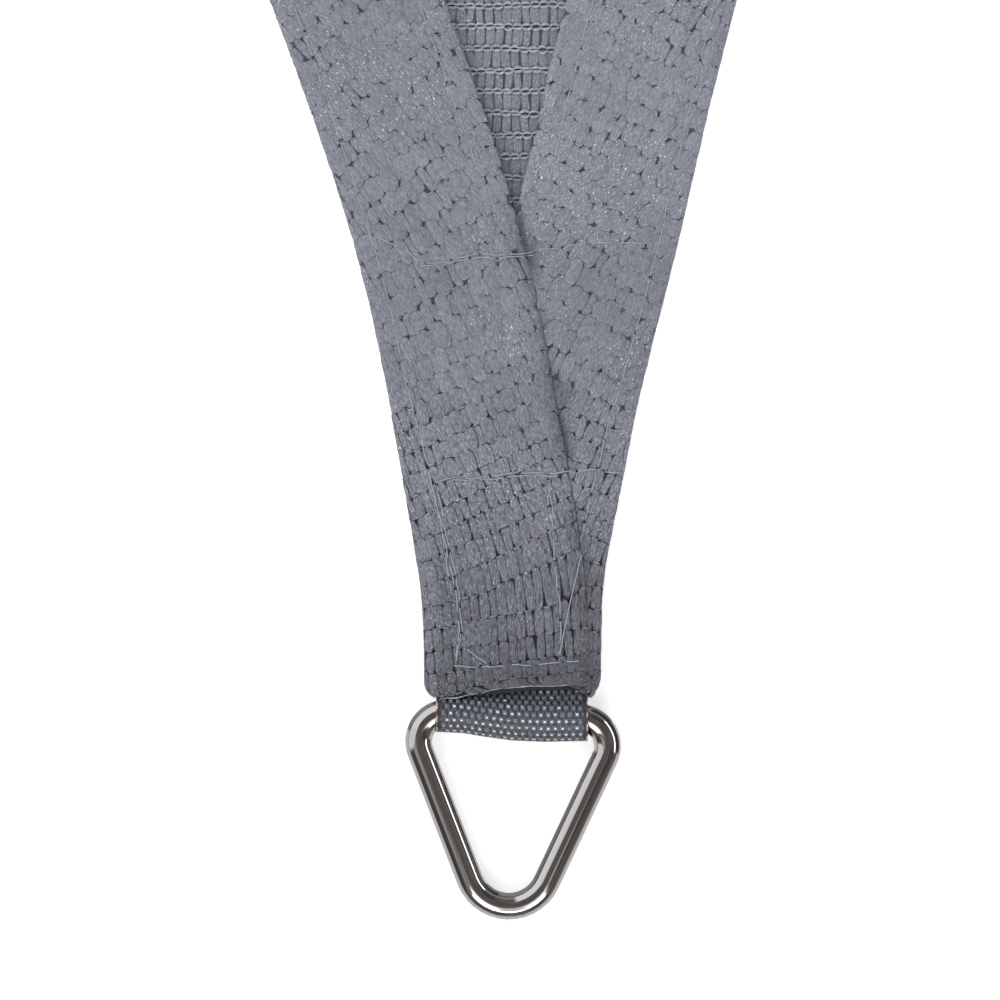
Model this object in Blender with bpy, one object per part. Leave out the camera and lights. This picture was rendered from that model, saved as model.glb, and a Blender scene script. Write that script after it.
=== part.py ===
"""Triangular shade sail of knitted cloth, lying flat with its hemmed side up.

Each of the three sides curves inward and ends in a narrow corner, where the two folded hems
lie one over the other. A doubled strap of webbing is buried in the corner, comes out of its
mouth and loops round the bar of a three-sided ring of round steel wire.

Metres, +Z up. The origin is on the underside, in the middle of the sail. Corner "front" points
along -Y, and "right" and "left" follow from it by thirds of a turn.

A corner is described in a frame of its own: x runs across the strap to the right, y is the
height above the cloth's mouth, towards the middle of the sail, and z is up.
"""

from math import acos, asin, atan2, cos, hypot, pi, radians, sin, sqrt, tan

import bmesh
import bpy
from mathutils import Matrix, Vector

MM = 0.001

# The whole sail
SIDE = 2.0  # from the cloth's mouth at one corner to the next
CORNERS = ("front", "right", "left")
STRAP_LEAN = radians(2.6)  # the strap stands this far off the corner's middle line
SIDE_STEPS = 22  # stretches along the curved part of a side

# The cloth
CLOTH = 1.0 * MM  # one layer of the body
LAYER = 0.8 * MM  # each layer folded over it
HEM = 32.6 * MM  # width of the folded hem
PANEL_INSET = 24.0 * MM  # the body reaches this close to the outline, under the hems
PANEL_LOW = 66.0 * MM  # height where the body comes to its end in a corner
HEM_LIP = 0.4 * MM  # rounding of a hem's inner edge
MOUTH_ROUND = 1.8 * MM  # rounding of the cloth at the mouth
UNDER_HEM_END = 0.4 * MM  # the covered hem stops this far inside the mouth

# Outline of a corner: height above the mouth, reach left and right of the strap's middle
OUTLINE = {
    "height": [0.0, 17.0, 27.0, 43.0, 59.0, 75.0, 91.0, 107.0, 123.0, 139.0],
    "left": [17.3, 17.8, 19.0, 21.7, 24.5, 27.7, 31.8, 36.8, 42.4, 48.4],
    "right": [17.6, 17.8, 18.8, 22.0, 25.2, 29.2, 33.2, 36.9, 40.7, 44.9],
}
CORNER_TOP = 139.0 * MM
HEM_HEIGHTS = (0.0, 0.5, 1.8, 3.0, 8.0, 14.0, 20.0, 27.0, 35.0, 41.0, 46.0, 50.0, 54.0,
               58.0, 66.0, 75.0, 83.0, 95.0, 108.0, 123.0, 139.0)

# Where the upper hem climbs over the lower one: its outer edge low down, its inner edge high up
OUTER_CLIMB = (27.0, 12.0)
INNER_CLIMB = (95.0, 83.0)

# The webbing, doubled and buried between the cloth's layers
WEBBING = 1.0 * MM  # thickness
WEBBING_WIDTH = 30.0 * MM
BURIED = 44.0 * MM  # depth of its ends above the mouth
GAP = 0.3 * MM  # left between neighbouring pieces
LOOP_SLACK = 1.2 * MM  # spare room of the loop on the ring's open side
BOX_FOOT = 3.0 * MM  # width of the slope of the cloth beside the webbing
CREST_LEAST = 2.0 * MM  # where that slope ends, from the outline inward
CREST_MOST = 10.0 * MM
EDGE_LIFT = 0.35  # share of the room by which the outline is lifted off the surface
WEBBING_COLUMNS = (-1.0, -0.6, -0.2, 0.2, 0.6, 1.0)  # across the half width
POCKET_PAST = 3.0 * MM  # the room for the webbing is cut this far past the mouth
POCKET_RISE = 1.0 * MM  # and this much higher there

# The webbing's middle line beside the bar, above it and below it: height from the mouth, rise
# from where it lies flat, and the share in which it follows the bar when the ring is turned
LOOP_ABOVE = {
    "height": [44.0, 26.0, 8.5, 5.5, 3.0, 1.2, 0.0],
    "rise": [0.0, 0.0, 0.0, 0.2, 0.75, 1.35, 1.65],
    "share": [0.0, 0.0, 0.0, 0.0, 0.0, 0.0, 0.6],
}
LOOP_BELOW = {
    "height": [-1.1, 0.2, 8.5, 26.0, 44.0],
    "rise": [-0.45, 0.0, 0.0, 0.0, 0.0],
    "share": [0.7, 0.0, 0.0, 0.0, 0.0],
}
# Round the bar: angles at which each bend starts and ends, in degrees, and its steps
BEND_ABOVE = (26, 90, 4)
BEND_OUTSIDE = (90, 270, 9)
BEND_BELOW = (270, 296, 2)

# Room between the cloth's layers for the webbing: under each hem, at heights above the mouth
ROOM = {
    "height": [0.0, 1.0, 3.0, 8.0, 45.5, 50.0, 54.0, 58.0],
    "upper": [4.95, 4.6, 3.85, 2.9, 2.9, 2.9, 1.45, 0.0],
    "lower": [4.95, 4.6, 3.85, 2.9, 2.9, 1.2, 0.0, 0.0],
}

# The ring
WIRE = 5.4 * MM  # diameter
BAR_HALF = 13.1 * MM  # half the bar's straight length
SHOULDER = 5.7 * MM  # bend radius at the ends of the bar
APEX = 8.3 * MM  # bend radius at the far end
APEX_DEPTH = 29.9 * MM  # from the bar to the middle of the far bend
RING_TURN = radians(2.0)  # turned a little in its loop, seen from above
BAR_HEIGHT = -3.8 * MM  # the bar's place below the mouth
BAR_SHIFT = 0.4 * MM  # and to the right of the strap's middle
WIRE_SIDES = 4  # bevel resolution
BEND_STEPS = 7


def smooth(value, start, end):
    """0 at start, 1 at end, with an even slope at both."""
    t = min(1.0, max(0.0, (value - start) / (end - start)))
    return t * t * (3.0 - 2.0 * t)


def read_table(table, column, value):
    """A column of a table, in metres, read as a smooth curve through its rows."""
    heights, reads = table["height"], table[column]
    value = min(max(value / MM, heights[0]), heights[-1])
    last = len(heights) - 1
    row = max(i for i in range(last) if heights[i] <= value)

    def slope(i):
        low, high = max(i - 1, 0), min(i + 1, last)
        return (reads[high] - reads[low]) / (heights[high] - heights[low])

    span = heights[row + 1] - heights[row]
    t = (value - heights[row]) / span
    return MM * (
        reads[row] * (1 + 2 * t) * (1 - t) ** 2
        + reads[row + 1] * t * t * (3 - 2 * t)
        + slope(row) * span * t * (1 - t) ** 2
        + slope(row + 1) * span * t * t * (t - 1)
    )


def read_straight(table, column, value):
    """A column of a table, in metres, read as straight runs between its rows."""
    heights, reads = table["height"], table[column]
    value = min(max(value / MM, heights[0]), heights[-1])
    row = max(i for i in range(len(heights) - 1) if heights[i] <= value)
    t = (value - heights[row]) / (heights[row + 1] - heights[row])
    return MM * (reads[row] + t * (reads[row + 1] - reads[row]))


def corner_matrix(corner):
    """From a corner's own frame to the sail's."""
    third = Matrix.Rotation(2 * pi / 3 * corner, 4, "Z")
    out = Matrix.Translation((0, -SIDE / sqrt(3), 0))
    return third @ out @ Matrix.Rotation(-STRAP_LEAN, 4, "Z")


def outline_point(corner, side, height):
    """A point of the outline beside a corner, and the direction in which it leaves the mouth."""
    sign = -1 if side == "left" else 1
    step = 0.5 * MM
    reach = read_table(OUTLINE, side, height)
    low = read_table(OUTLINE, side, max(height - step, 0))
    high = read_table(OUTLINE, side, min(height + step, CORNER_TOP))
    run = min(height + step, CORNER_TOP) - max(height - step, 0)
    along = Vector((sign * (high - low), run, 0)).normalized()
    place = corner_matrix(corner)
    return place @ Vector((sign * reach, height, 0)), place.to_3x3() @ along


def side_stations(first):
    """The stations along a side, from the left of one corner to the right of the next one.

    Each is a point of the outline with the direction inward, then the same two in the frame of
    the nearer corner, and whether the hem is the upper one there.
    """
    second = (first + 2) % 3
    points = [outline_point(first, "left", h * MM) for h in HEM_HEIGHTS]
    far = [outline_point(second, "right", h * MM) for h in HEM_HEIGHTS]
    far[0] = outline_point(second, "right", UNDER_HEM_END)
    start, leave = points[-1]
    end, arrive = far[-1]
    chord = end - start
    turn = acos(max(-1.0, min(1.0, leave.dot(chord.normalized()))))
    pull = chord.length * 2 / 3 * tan(turn / 2) / sin(turn)
    a, b, c, d = start, start + leave * pull, end + arrive * pull, end
    for step in range(1, SIDE_STEPS):
        t = step / SIDE_STEPS
        u = 1 - t
        point = a * u**3 + b * (3 * u * u * t) + c * (3 * u * t * t) + d * t**3
        along = (b - a) * (u * u) + (c - b) * (2 * u * t) + (d - c) * (t * t)
        points.append((point, along.normalized()))
    points += [(point, -along) for point, along in reversed(far)]
    to_corners = [corner_matrix(corner).inverted() for corner in (first, second)]
    stations = []
    for point, along in points:
        inward = Vector((along.y, -along.x, 0))
        upper = (to_corners[0] @ point).y < (to_corners[1] @ point).y
        to_corner = to_corners[0 if upper else 1]
        near = (to_corner @ point, to_corner.to_3x3() @ inward)
        stations.append((point, inward, *near, upper))
    return stations


def hem_profile(point, inward, upper):
    """The hem's section at a station, as pairs of the distance inward and the height."""

    def room_at(distance):
        column = "upper" if upper else "lower"
        return read_straight(ROOM, column, point.y + inward.y * distance)

    outer = CLOTH + LAYER
    inner = CLOTH + LAYER
    if upper:
        outer += LAYER * smooth(point.y / MM, *OUTER_CLIMB)
        inner += LAYER * smooth((point.y + inward.y * HEM) / MM, *INNER_CLIMB)
    cut = min(MOUTH_ROUND, max(0.0, MOUTH_ROUND - point.y))
    inset = MOUTH_ROUND - sqrt(MOUTH_ROUND**2 - cut**2)
    radius = outer / 2
    crest = min(max(abs(point.x) - WEBBING_WIDTH / 2 - GAP, CREST_LEAST), CREST_MOST)
    crest = max(crest, inset + radius + HEM_LIP)
    foot = max(crest - BOX_FOOT, inset + radius + HEM_LIP / 4)
    lift = EDGE_LIFT * room_at(crest)
    fold = [
        (inset + radius * (1 - sin(a)), lift + radius * (1 - cos(a)))
        for a in (0, pi / 4, pi / 2, 3 * pi / 4, pi)
    ]
    return [(crest, 0.0)] + fold + [
        (foot, lift + outer + EDGE_LIFT * (room_at(foot) - room_at(crest))),
        (crest, outer + room_at(crest)),
        (HEM - HEM_LIP, inner + room_at(HEM)),
        (HEM, inner + room_at(HEM) - HEM_LIP),
        (HEM, 0.0),
    ]


def new_object(name, mesh):
    part = bpy.data.objects.new(name, mesh)
    bpy.context.scene.collection.objects.link(part)
    return part


def lofted(name, sections):
    """A closed body through equal sections of points, with its two ends filled."""
    shape = bmesh.new()
    rings = [[shape.verts.new(p) for p in section] for section in sections]
    count = len(rings[0])
    for ring, following in zip(rings, rings[1:]):
        for i in range(count):
            j = (i + 1) % count
            shape.faces.new((ring[i], ring[j], following[j], following[i]))
    shape.faces.new(list(reversed(rings[0])))
    shape.faces.new(rings[-1])
    bmesh.ops.recalc_face_normals(shape, faces=shape.faces)
    mesh = bpy.data.meshes.new(name)
    shape.to_mesh(mesh)
    shape.free()
    return new_object(name, mesh)


def guide(part):
    """Marks an object as a tool for another's Boolean, not a piece of its own."""
    part.hide_render = True
    part.display_type = "WIRE"
    return part


def combine(part, others, operation):
    """Joins the other bodies to the part, or cuts them out of it, all at once."""
    group = bpy.data.collections.new(f"{part.name}_{operation.lower()}")
    bpy.context.scene.collection.children.link(group)
    for other in others:
        group.objects.link(guide(other))
    step = part.modifiers.new(operation.lower(), "BOOLEAN")
    step.operation = operation
    step.operand_type = "COLLECTION"
    step.collection = group


def material(name, colour, roughness, metallic=0.0):
    finish = bpy.data.materials.new(name)
    finish.use_nodes = True
    shader = finish.node_tree.nodes["Principled BSDF"]
    shader.inputs["Base Color"].default_value = (*colour, 1)
    shader.inputs["Roughness"].default_value = roughness
    shader.inputs["Metallic"].default_value = metallic
    finish.diffuse_color = (*colour, 1)
    return finish


def make_hem(corner):
    """The folded hem of one side: the upper one where it starts, the lower one where it ends."""
    sections = []
    for point, inward, *near in side_stations(corner):
        profile = hem_profile(*near)
        sections.append([point + inward * d + Vector((0, 0, z)) for d, z in profile])
    return lofted(f"hem_{CORNERS[corner]}", sections)


def make_panel():
    """The single layer between the hems, reaching some way under them."""
    rim = []
    for corner in (0, 2, 1):
        for point, inward, near, *_ in side_stations(corner):
            if near.y > PANEL_LOW:
                rim.append(point + inward * PANEL_INSET)
    low = [point.copy() for point in rim]
    high = [point + Vector((0, 0, CLOTH)) for point in rim]
    return lofted("sail_cloth", [low, high])


def make_pocket(corner):
    """The room for the webbing between the cloth's layers, open at the mouth."""
    half = WEBBING_WIDTH / 2 + GAP
    deep = BURIED + GAP
    heights = [h * MM for h in ROOM["height"] if h * MM < deep]
    roof = [(h, CLOTH + read_straight(ROOM, "lower", h)) for h in heights]
    roof.append((deep, roof[-1][1]))
    outside = [(-POCKET_PAST, CLOTH), (-POCKET_PAST, roof[0][1] + POCKET_RISE)]
    section = outside + roof + [(deep, CLOTH)]
    place = corner_matrix(corner)
    sides = [[place @ Vector((x, y, z)) for y, z in section] for x in (-half, half)]
    return lofted(f"pocket_{CORNERS[corner]}", sides)


def make_cloth(finish):
    cloth = make_panel()
    cloth.data.materials.append(finish)
    combine(cloth, [make_hem(corner) for corner in range(3)], "UNION")
    combine(cloth, [make_pocket(corner) for corner in range(3)], "DIFFERENCE")
    return cloth


def loop_line():
    """Middle line of the webbing, from its upper end round the bar to its lower end.

    Rows of distance from the mouth and height, with the share in which each follows the bar.
    """
    around = WIRE / 2 + GAP + WEBBING / 2
    bar_z = around + WEBBING / 2
    low = CLOTH + GAP + WEBBING / 2
    high = low + WEBBING + GAP

    def beside(table, level):
        rows = zip(table["height"], table["rise"], table["share"])
        return [(y * MM, level + rise * MM, share) for y, rise, share in rows]

    def bend(start, end, steps, slack=0.0):
        angles = [radians(start + (end - start) * step / steps) for step in range(steps + 1)]
        centre = BAR_HEIGHT - slack
        return [(centre + around * cos(a), bar_z + around * sin(a), 1.0) for a in angles]

    line = beside(LOOP_ABOVE, high) + bend(*BEND_ABOVE) + bend(*BEND_OUTSIDE, LOOP_SLACK)
    line += bend(*BEND_BELOW) + beside(LOOP_BELOW, low)
    return line


def make_webbing(corner, finish):
    line = loop_line()
    upper, lower = [], []
    for i, (y, z, share) in enumerate(line):
        before, after = line[max(i - 1, 0)], line[min(i + 1, len(line) - 1)]
        run, rise = after[0] - before[0], after[1] - before[1]
        size = hypot(run, rise)
        across = (-rise / size * WEBBING / 2, run / size * WEBBING / 2)
        upper.append((y - across[0], z - across[1], share))
        lower.append((y + across[0], z + across[1], share))
    section = upper + lower[::-1]
    place = corner_matrix(corner)
    half = WEBBING_WIDTH / 2
    sections = []
    for column in WEBBING_COLUMNS:
        x = column * half
        shift = -tan(RING_TURN) * x
        sections.append([place @ Vector((x, y + shift * s, z)) for y, z, s in section])
    webbing = lofted(f"webbing_{CORNERS[corner]}", sections)
    webbing.data.materials.append(finish)
    return webbing


def ring_line():
    """Middle line of the wire, in the ring's own plane, with the bar along x."""
    gap = hypot(BAR_HALF, APEX_DEPTH - SHOULDER)
    lean = atan2(BAR_HALF, APEX_DEPTH - SHOULDER) - asin((APEX - SHOULDER) / gap)
    bends = (
        ((BAR_HALF, -SHOULDER), SHOULDER, pi / 2, -lean),
        ((0.0, -APEX_DEPTH), APEX, -lean, lean - pi),
        ((-BAR_HALF, -SHOULDER), SHOULDER, lean - pi, -3 * pi / 2),
    )
    line = []
    for (x, y), radius, start, end in bends:
        for step in range(BEND_STEPS + 1):
            angle = start + (end - start) * step / BEND_STEPS
            line.append(Vector((x + radius * cos(angle), y + radius * sin(angle), 0)))
    return line


def make_ring(corner, finish):
    curve = bpy.data.curves.new(f"ring_{CORNERS[corner]}", "CURVE")
    curve.dimensions = "3D"
    curve.bevel_depth = WIRE / 2
    curve.bevel_resolution = WIRE_SIDES
    spline = curve.splines.new("POLY")
    points = ring_line()
    spline.points.add(len(points) - 1)
    for target, point in zip(spline.points, points):
        target.co = (*point, 1)
    spline.use_cyclic_u = True
    curve.materials.append(finish)
    ring = new_object(curve.name, curve)
    bar_z = WIRE / 2 + GAP + WEBBING
    tilt = asin((bar_z - WIRE / 2) / (APEX_DEPTH + APEX))
    place = corner_matrix(corner) @ Matrix.Translation((BAR_SHIFT, BAR_HEIGHT, bar_z))
    turned = Matrix.Rotation(-RING_TURN, 4, "Z") @ Matrix.Rotation(tilt, 4, "X")
    ring.matrix_world = place @ turned
    return ring


def main():
    for old in list(bpy.data.objects):
        bpy.data.objects.remove(old)
    knit = material("knitted_cloth", (0.19, 0.21, 0.25), 0.75)
    strap = material("webbing", (0.09, 0.11, 0.15), 0.7)
    steel = material("polished_steel", (0.62, 0.60, 0.58), 0.12, 1.0)
    make_cloth(knit)
    for corner in range(3):
        make_webbing(corner, strap)
        make_ring(corner, steel)


main()
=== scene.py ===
"""Looks of a triangular shade sail of knitted cloth, lying flat and seen above its front corner.

Lengths are in millimetres until a mesh is made. A corner has a frame of its own: x runs across
the strap to the right, y is the height above the cloth's mouth, towards the sail's middle.
"""

from functools import cache
from math import asin, atan2, cos, hypot, pi, radians, sin, sqrt, tan

import bmesh
import bpy
import numpy as np
from mathutils import Matrix, Vector
from mathutils.geometry import delaunay_2d_cdt


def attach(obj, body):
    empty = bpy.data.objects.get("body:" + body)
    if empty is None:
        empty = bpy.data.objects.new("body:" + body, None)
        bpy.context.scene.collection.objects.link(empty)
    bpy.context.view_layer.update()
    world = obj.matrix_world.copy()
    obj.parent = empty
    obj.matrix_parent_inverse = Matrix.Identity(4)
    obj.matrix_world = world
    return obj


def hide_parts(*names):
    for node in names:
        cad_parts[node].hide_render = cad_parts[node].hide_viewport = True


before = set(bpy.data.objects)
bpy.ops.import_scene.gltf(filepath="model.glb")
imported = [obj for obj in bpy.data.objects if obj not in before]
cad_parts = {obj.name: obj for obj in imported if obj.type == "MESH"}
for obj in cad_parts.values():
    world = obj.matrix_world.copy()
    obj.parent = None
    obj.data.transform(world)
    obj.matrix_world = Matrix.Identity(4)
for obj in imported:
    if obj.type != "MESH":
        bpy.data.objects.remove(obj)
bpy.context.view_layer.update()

MM = 0.001

# The sail's plan
SIDE = 2000.0  # from the cloth's mouth at one corner to the next
CORNERS = ("front", "right", "left")
STRAP_LEAN = radians(2.6)  # the strap stands this far off the corner's middle line
CORNER_TOP = 139.0  # reach of the outline's table
CORNER_REACH = 185.0  # how far up a corner its yarns are laid one by one
LINE_STEP = 0.5  # spacing of the points that a side's line is kept in
BOW_POINTS = 4000  # points that a side's free bow is first read at
CHUNK = 4000  # points whose nearest place on a side is looked for in one go

# Outline of a corner: height above the mouth, reach left and right of the strap's middle
OUTLINE = {
    "height": [0.0, 17.0, 27.0, 43.0, 59.0, 75.0, 91.0, 107.0, 123.0, 139.0],
    "left": [17.3, 17.8, 19.0, 21.7, 24.5, 27.7, 31.8, 36.8, 42.4, 48.4],
    "right": [17.6, 17.8, 18.8, 22.0, 25.2, 29.2, 33.2, 36.9, 40.7, 44.9],
}

# The cloth's layers
RELIEF = 0.45  # the yarns stand this high on the sheet below them
PANEL = 1.0  # one layer of the body
LAYER = 0.8  # each layer folded over it
HEM = 32.6  # width of the folded hem
EDGE_ROUND = 0.6  # rounding of the hem's inner edge
EDGE_TURN = 0.85 * pi  # how far round that edge its face runs
FLAP = 0.6  # thickness of the folded layer's own sheet
RIM = 3.0  # the hem's turned edge reaches this far inward on the underside
MOUTH_ROUND = 1.8  # rounding of the cloth's corners at the mouth
OUTER_CLIMB = (27.0, 12.0)  # heights where the upper hem's outer edge climbs over the lower hem
INNER_CLIMB = (95.0, 83.0)  # and its inner edge

# Height of the raw edge at the mouth, at places across a corner
MOUTH = {
    "across": [-18.0, -15.6, -11.2, -6.4, -2.4, 1.6, 12.0, 13.6, 15.6, 16.8, 17.8],
    "upper": [1.0, -0.4, -0.4, 0.6, 1.2, 1.4, 1.4, 1.4, 1.4, 1.4, 1.4],
    "lower": [1.5, 1.5, 1.5, 1.5, 1.7, 1.9, 1.7, 0.6, -0.4, 0.8, 2.4],
}
MOUTH_FADE = 9.0  # height at which the mouth's shape is gone

# Softness of the hems beside the corners: height, wave length and turn of each wave
PUCKERS = ((0.13, 23.0, 0.4), (0.11, 14.5, 2.0), (0.09, 9.5, 1.1), (0.06, 6.1, 2.7))
PUCKER_END = (130.0, 175.0)  # heights between which they fade away from the corner
PUCKER_EDGE = (1.0, 6.0)  # and distances from the fold between which they begin
SWING = (2.7, 1.3, 2.1)  # length and size of each wave's own swing, and its shift to the next

# Room for the webbing under each hem, at heights above the mouth
ROOM = {
    "height": [0.0, 1.0, 3.0, 8.0, 45.5, 50.0, 54.0, 58.0],
    "upper": [4.95, 4.6, 3.85, 2.9, 2.9, 2.9, 1.45, 0.0],
    "lower": [4.95, 4.6, 3.85, 2.9, 2.9, 1.2, 0.0, 0.0],
}
BOX_FOOT = 3.0  # width of the slope of the cloth beside the webbing
CREST = (2.0, 10.0)  # least and most distance of that slope's top from the outline
EDGE_LIFT = 0.35  # share of the room by which the outline is lifted
SLOPE_SOFT = 0.6  # rounding of that slope's foot and top
TOP_EDGE = 3.0  # the hem's top is level this far from its fold and from its inner edge

# Unevenness of the cloth where it lies free of its corners
WAVES = (
    # height, wave length, direction, phase
    (1.5, 410.0, 0.35, 0.4),
    (1.2, 290.0, 1.45, 2.1),
    (0.9, 205.0, 2.50, 4.0),
    (0.6, 137.0, 0.95, 1.2),
)
FLAT_CORNER = (170.0, 420.0)  # from the mouth: flat up to the first, fully uneven past the second

# The webbing
WEBBING = 1.0  # thickness
WEBBING_WIDTH = 30.0
BURIED = 44.0  # depth of its ends above the mouth
GAP = 0.3  # between it and the cloth or the ring

# The ring
WIRE = 5.4
BAR_HALF = 13.1  # half of the straight part of the bar
SHOULDER = 5.7  # radius of the bends beside the bar, at the wire's middle
APEX = 8.3  # radius of the far bend
APEX_DEPTH = 29.9  # from the bar to the far bend's centre
RING_TURN = radians(2.0)
BAR_HEIGHT = -3.8  # of the bar's middle, above the cloth's mouth
BAR_SHIFT = 0.4

# The camera stands straight above a point of the front corner
VIEW_CENTRE = (-2.4, 39.0)
VIEW_WIDTH = 200.0
LENS = 135.0
SENSOR = 36.0

# Starts of the random draws, to which the number of the corner or side is added
SEEDS = {"knit": 11, "sewing": 40, "seams": 60, "raw_edge": 80, "holes": 90, "cut_edges": 90}


# ---------------------------------------------------------------- plan of the sail


def ease(value, start, end):
    """0 at start, 1 at end, with an even slope at both."""
    t = np.clip((value - start) / (end - start), 0.0, 1.0)
    return t * t * (3.0 - 2.0 * t)


def read_outline(column, heights):
    """A column of the outline's table, read as a smooth curve through its rows."""
    rows, reads = np.array(OUTLINE["height"]), np.array(OUTLINE[column])
    index = np.arange(len(rows))
    low, high = np.maximum(index - 1, 0), np.minimum(index + 1, len(rows) - 1)
    slopes = (reads[high] - reads[low]) / (rows[high] - rows[low])
    row = np.clip(np.searchsorted(rows, heights, side="right") - 1, 0, len(rows) - 2)
    span = rows[row + 1] - rows[row]
    t = (heights - rows[row]) / span
    value = reads[row] * (1 + 2 * t) * (1 - t) ** 2 + reads[row + 1] * t * t * (3 - 2 * t)
    bend = slopes[row] * (1 - t) ** 2 * t + slopes[row + 1] * t * t * (t - 1)
    return value + span * bend


def corner_frame(corner):
    """Origin, rightward and upward direction of a corner's frame in the plan."""
    turn = 2 * pi / 3 * corner
    origin = np.array([sin(turn), -cos(turn)]) * SIDE / sqrt(3)
    angle = turn - STRAP_LEAN
    return origin, np.array([cos(angle), sin(angle)]), np.array([-sin(angle), cos(angle)])


def to_plan(corner, x, y):
    """Points of a corner's frame in the sail's plan."""
    origin, right, up = corner_frame(corner)
    return origin + np.multiply.outer(x, right) + np.multiply.outer(y, up)


def to_corner(corner, plan):
    """Points of the sail's plan in a corner's frame."""
    origin, right, up = corner_frame(corner)
    return np.stack([(plan - origin) @ right, (plan - origin) @ up], axis=-1)


def corner_matrix(corner):
    """From a corner's own frame to the sail's, in metres."""
    third = Matrix.Rotation(2 * pi / 3 * corner, 4, "Z")
    out = Matrix.Translation((0, -SIDE / sqrt(3) * MM, 0))
    return third @ out @ Matrix.Rotation(-STRAP_LEAN, 4, "Z")


def unit(vectors):
    """Vectors made one unit long."""
    return vectors / np.maximum(np.linalg.norm(vectors, axis=-1, keepdims=True), 1e-9)


def free_bow(start, end):
    """The inward bow from one corner's outline to another's, which leaves both smoothly."""
    leave = unit(start[-1] - start[-2])
    arrive = unit(end[-1] - end[-2])
    chord = end[-1] - start[-1]
    length = np.linalg.norm(chord)
    turn = np.arccos(np.clip(leave @ (chord / length), -1, 1))
    pull = length * 2 / 3 * tan(turn / 2) / sin(turn)
    t = np.linspace(0, 1, BOW_POINTS)[1:-1, None]
    u = 1 - t
    bow = start[-1] * u**3 + (start[-1] + leave * pull) * 3 * u * u * t
    return bow + (end[-1] + arrive * pull) * 3 * u * t * t + end[-1] * t**3


class Side:
    """A side of the sail, from the left of one corner to the right of the next.

    Its line is kept as evenly spaced points, so a place along it is a number of points.
    """

    def __init__(self, first):
        self.first, self.last = first, (first + 2) % 3
        heights = np.arange(0.0, CORNER_TOP + LINE_STEP / 2, LINE_STEP)
        start = to_plan(self.first, -read_outline("left", heights), heights)
        end = to_plan(self.last, read_outline("right", heights), heights)
        rough = np.concatenate([start, free_bow(start, end), end[::-1]])
        steps = np.linalg.norm(np.diff(rough, axis=0), axis=1)
        arc = np.concatenate([[0], np.cumsum(steps)])
        self.count = int(arc[-1] / LINE_STEP)
        even = np.linspace(0, arc[-1], self.count)
        self.line = np.stack([np.interp(even, arc, rough[:, i]) for i in (0, 1)], axis=1)
        self.along = unit(np.gradient(self.line, axis=0))
        self.inward = np.stack([self.along[:, 1], -self.along[:, 0]], axis=1)
        near, far = to_corner(self.first, self.line), to_corner(self.last, self.line)
        self.upper = (near[:, 1] < far[:, 1]).astype(float)
        pick = self.upper[:, None] > 0
        self.local = np.where(pick, near, far)
        frames = zip(corner_frame(self.first), corner_frame(self.last))
        self.origin, self.right, self.up = [np.where(pick, *pair) for pair in frames]
        self.climb = (self.inward * self.up).sum(1)
        self.last_place = self.count - 1.001

    def at(self, values, t):
        """Values kept along the line, read at places between its points."""
        low = np.clip(np.floor(t).astype(int), 0, self.count - 2)
        share = np.clip(t - low, 0.0, 1.0)
        if values.ndim > 1:
            share = share[..., None]
        return values[low] * (1 - share) + values[low + 1] * share

    def is_upper(self, t):
        """Whether places along the line belong to the hem that lies on top at its corner."""
        return self.at(self.upper, t) > 0.5

    def nearer(self, values, t):
        """Values that stay the same along each half of the side, read without blending."""
        return values[np.clip(np.round(t).astype(int), 0, self.count - 1)]

    def foot(self, plan, head):
        """Place along the line and distance outside it of points near one of its ends."""
        reach = int(CORNER_REACH / LINE_STEP)
        window = slice(0, reach) if head else slice(self.count - reach, self.count)
        line, along, inward = self.line[window], self.along[window], self.inward[window]
        nearest = np.zeros(len(plan), int)
        for start in range(0, len(plan), CHUNK):
            part = slice(start, start + CHUNK)
            gaps = ((plan[part][:, None, :] - line[None]) ** 2).sum(-1)
            nearest[part] = gaps.argmin(1)
        apart = plan - line[nearest]
        t = nearest + (apart * along[nearest]).sum(1) / LINE_STEP
        out = -(apart * inward[nearest]).sum(1)
        return t + window.start, out


def unevenness(plan):
    """Height of the cloth above the surface, away from the corners."""
    height = np.zeros(plan.shape[:-1])
    for size, length, turn, phase in WAVES:
        run = (plan @ np.array([cos(turn), sin(turn)])) * 2 * pi / length
        height = height + size * (0.5 + 0.5 * np.sin(run + phase))
    far = np.full(plan.shape[:-1], 1e9)
    for corner in range(3):
        far = np.minimum(far, np.linalg.norm(plan - corner_frame(corner)[0], axis=-1))
    return height * ease(far, *FLAT_CORNER)


def pucker(plan):
    """Small soft waves of the hems beside the corners."""
    height = np.zeros(plan.shape[:-1])
    longer, strength, shift = SWING
    for index, (size, length, turn) in enumerate(PUCKERS):
        run = plan @ np.array([cos(turn), sin(turn)]) * 2 * pi / length
        swing = plan @ np.array([-sin(turn), cos(turn)]) * 2 * pi / (length * longer)
        height = height + size * np.sin(run + strength * np.sin(swing + index) + shift * index)
    return height


def layers_top(upper, height, climb):
    """Height of the sheet on a hem's layers, which climbs where the hem lies on another one."""
    return PANEL + LAYER - RELIEF + np.where(upper, LAYER * ease(height, *climb), 0.0)


def by_layer(upper, table, places, key):
    """A table's upper and lower column, each read where its hem lies."""
    return np.where(upper, *[np.interp(places, table[key], table[c]) for c in ("upper", "lower")])


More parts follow.
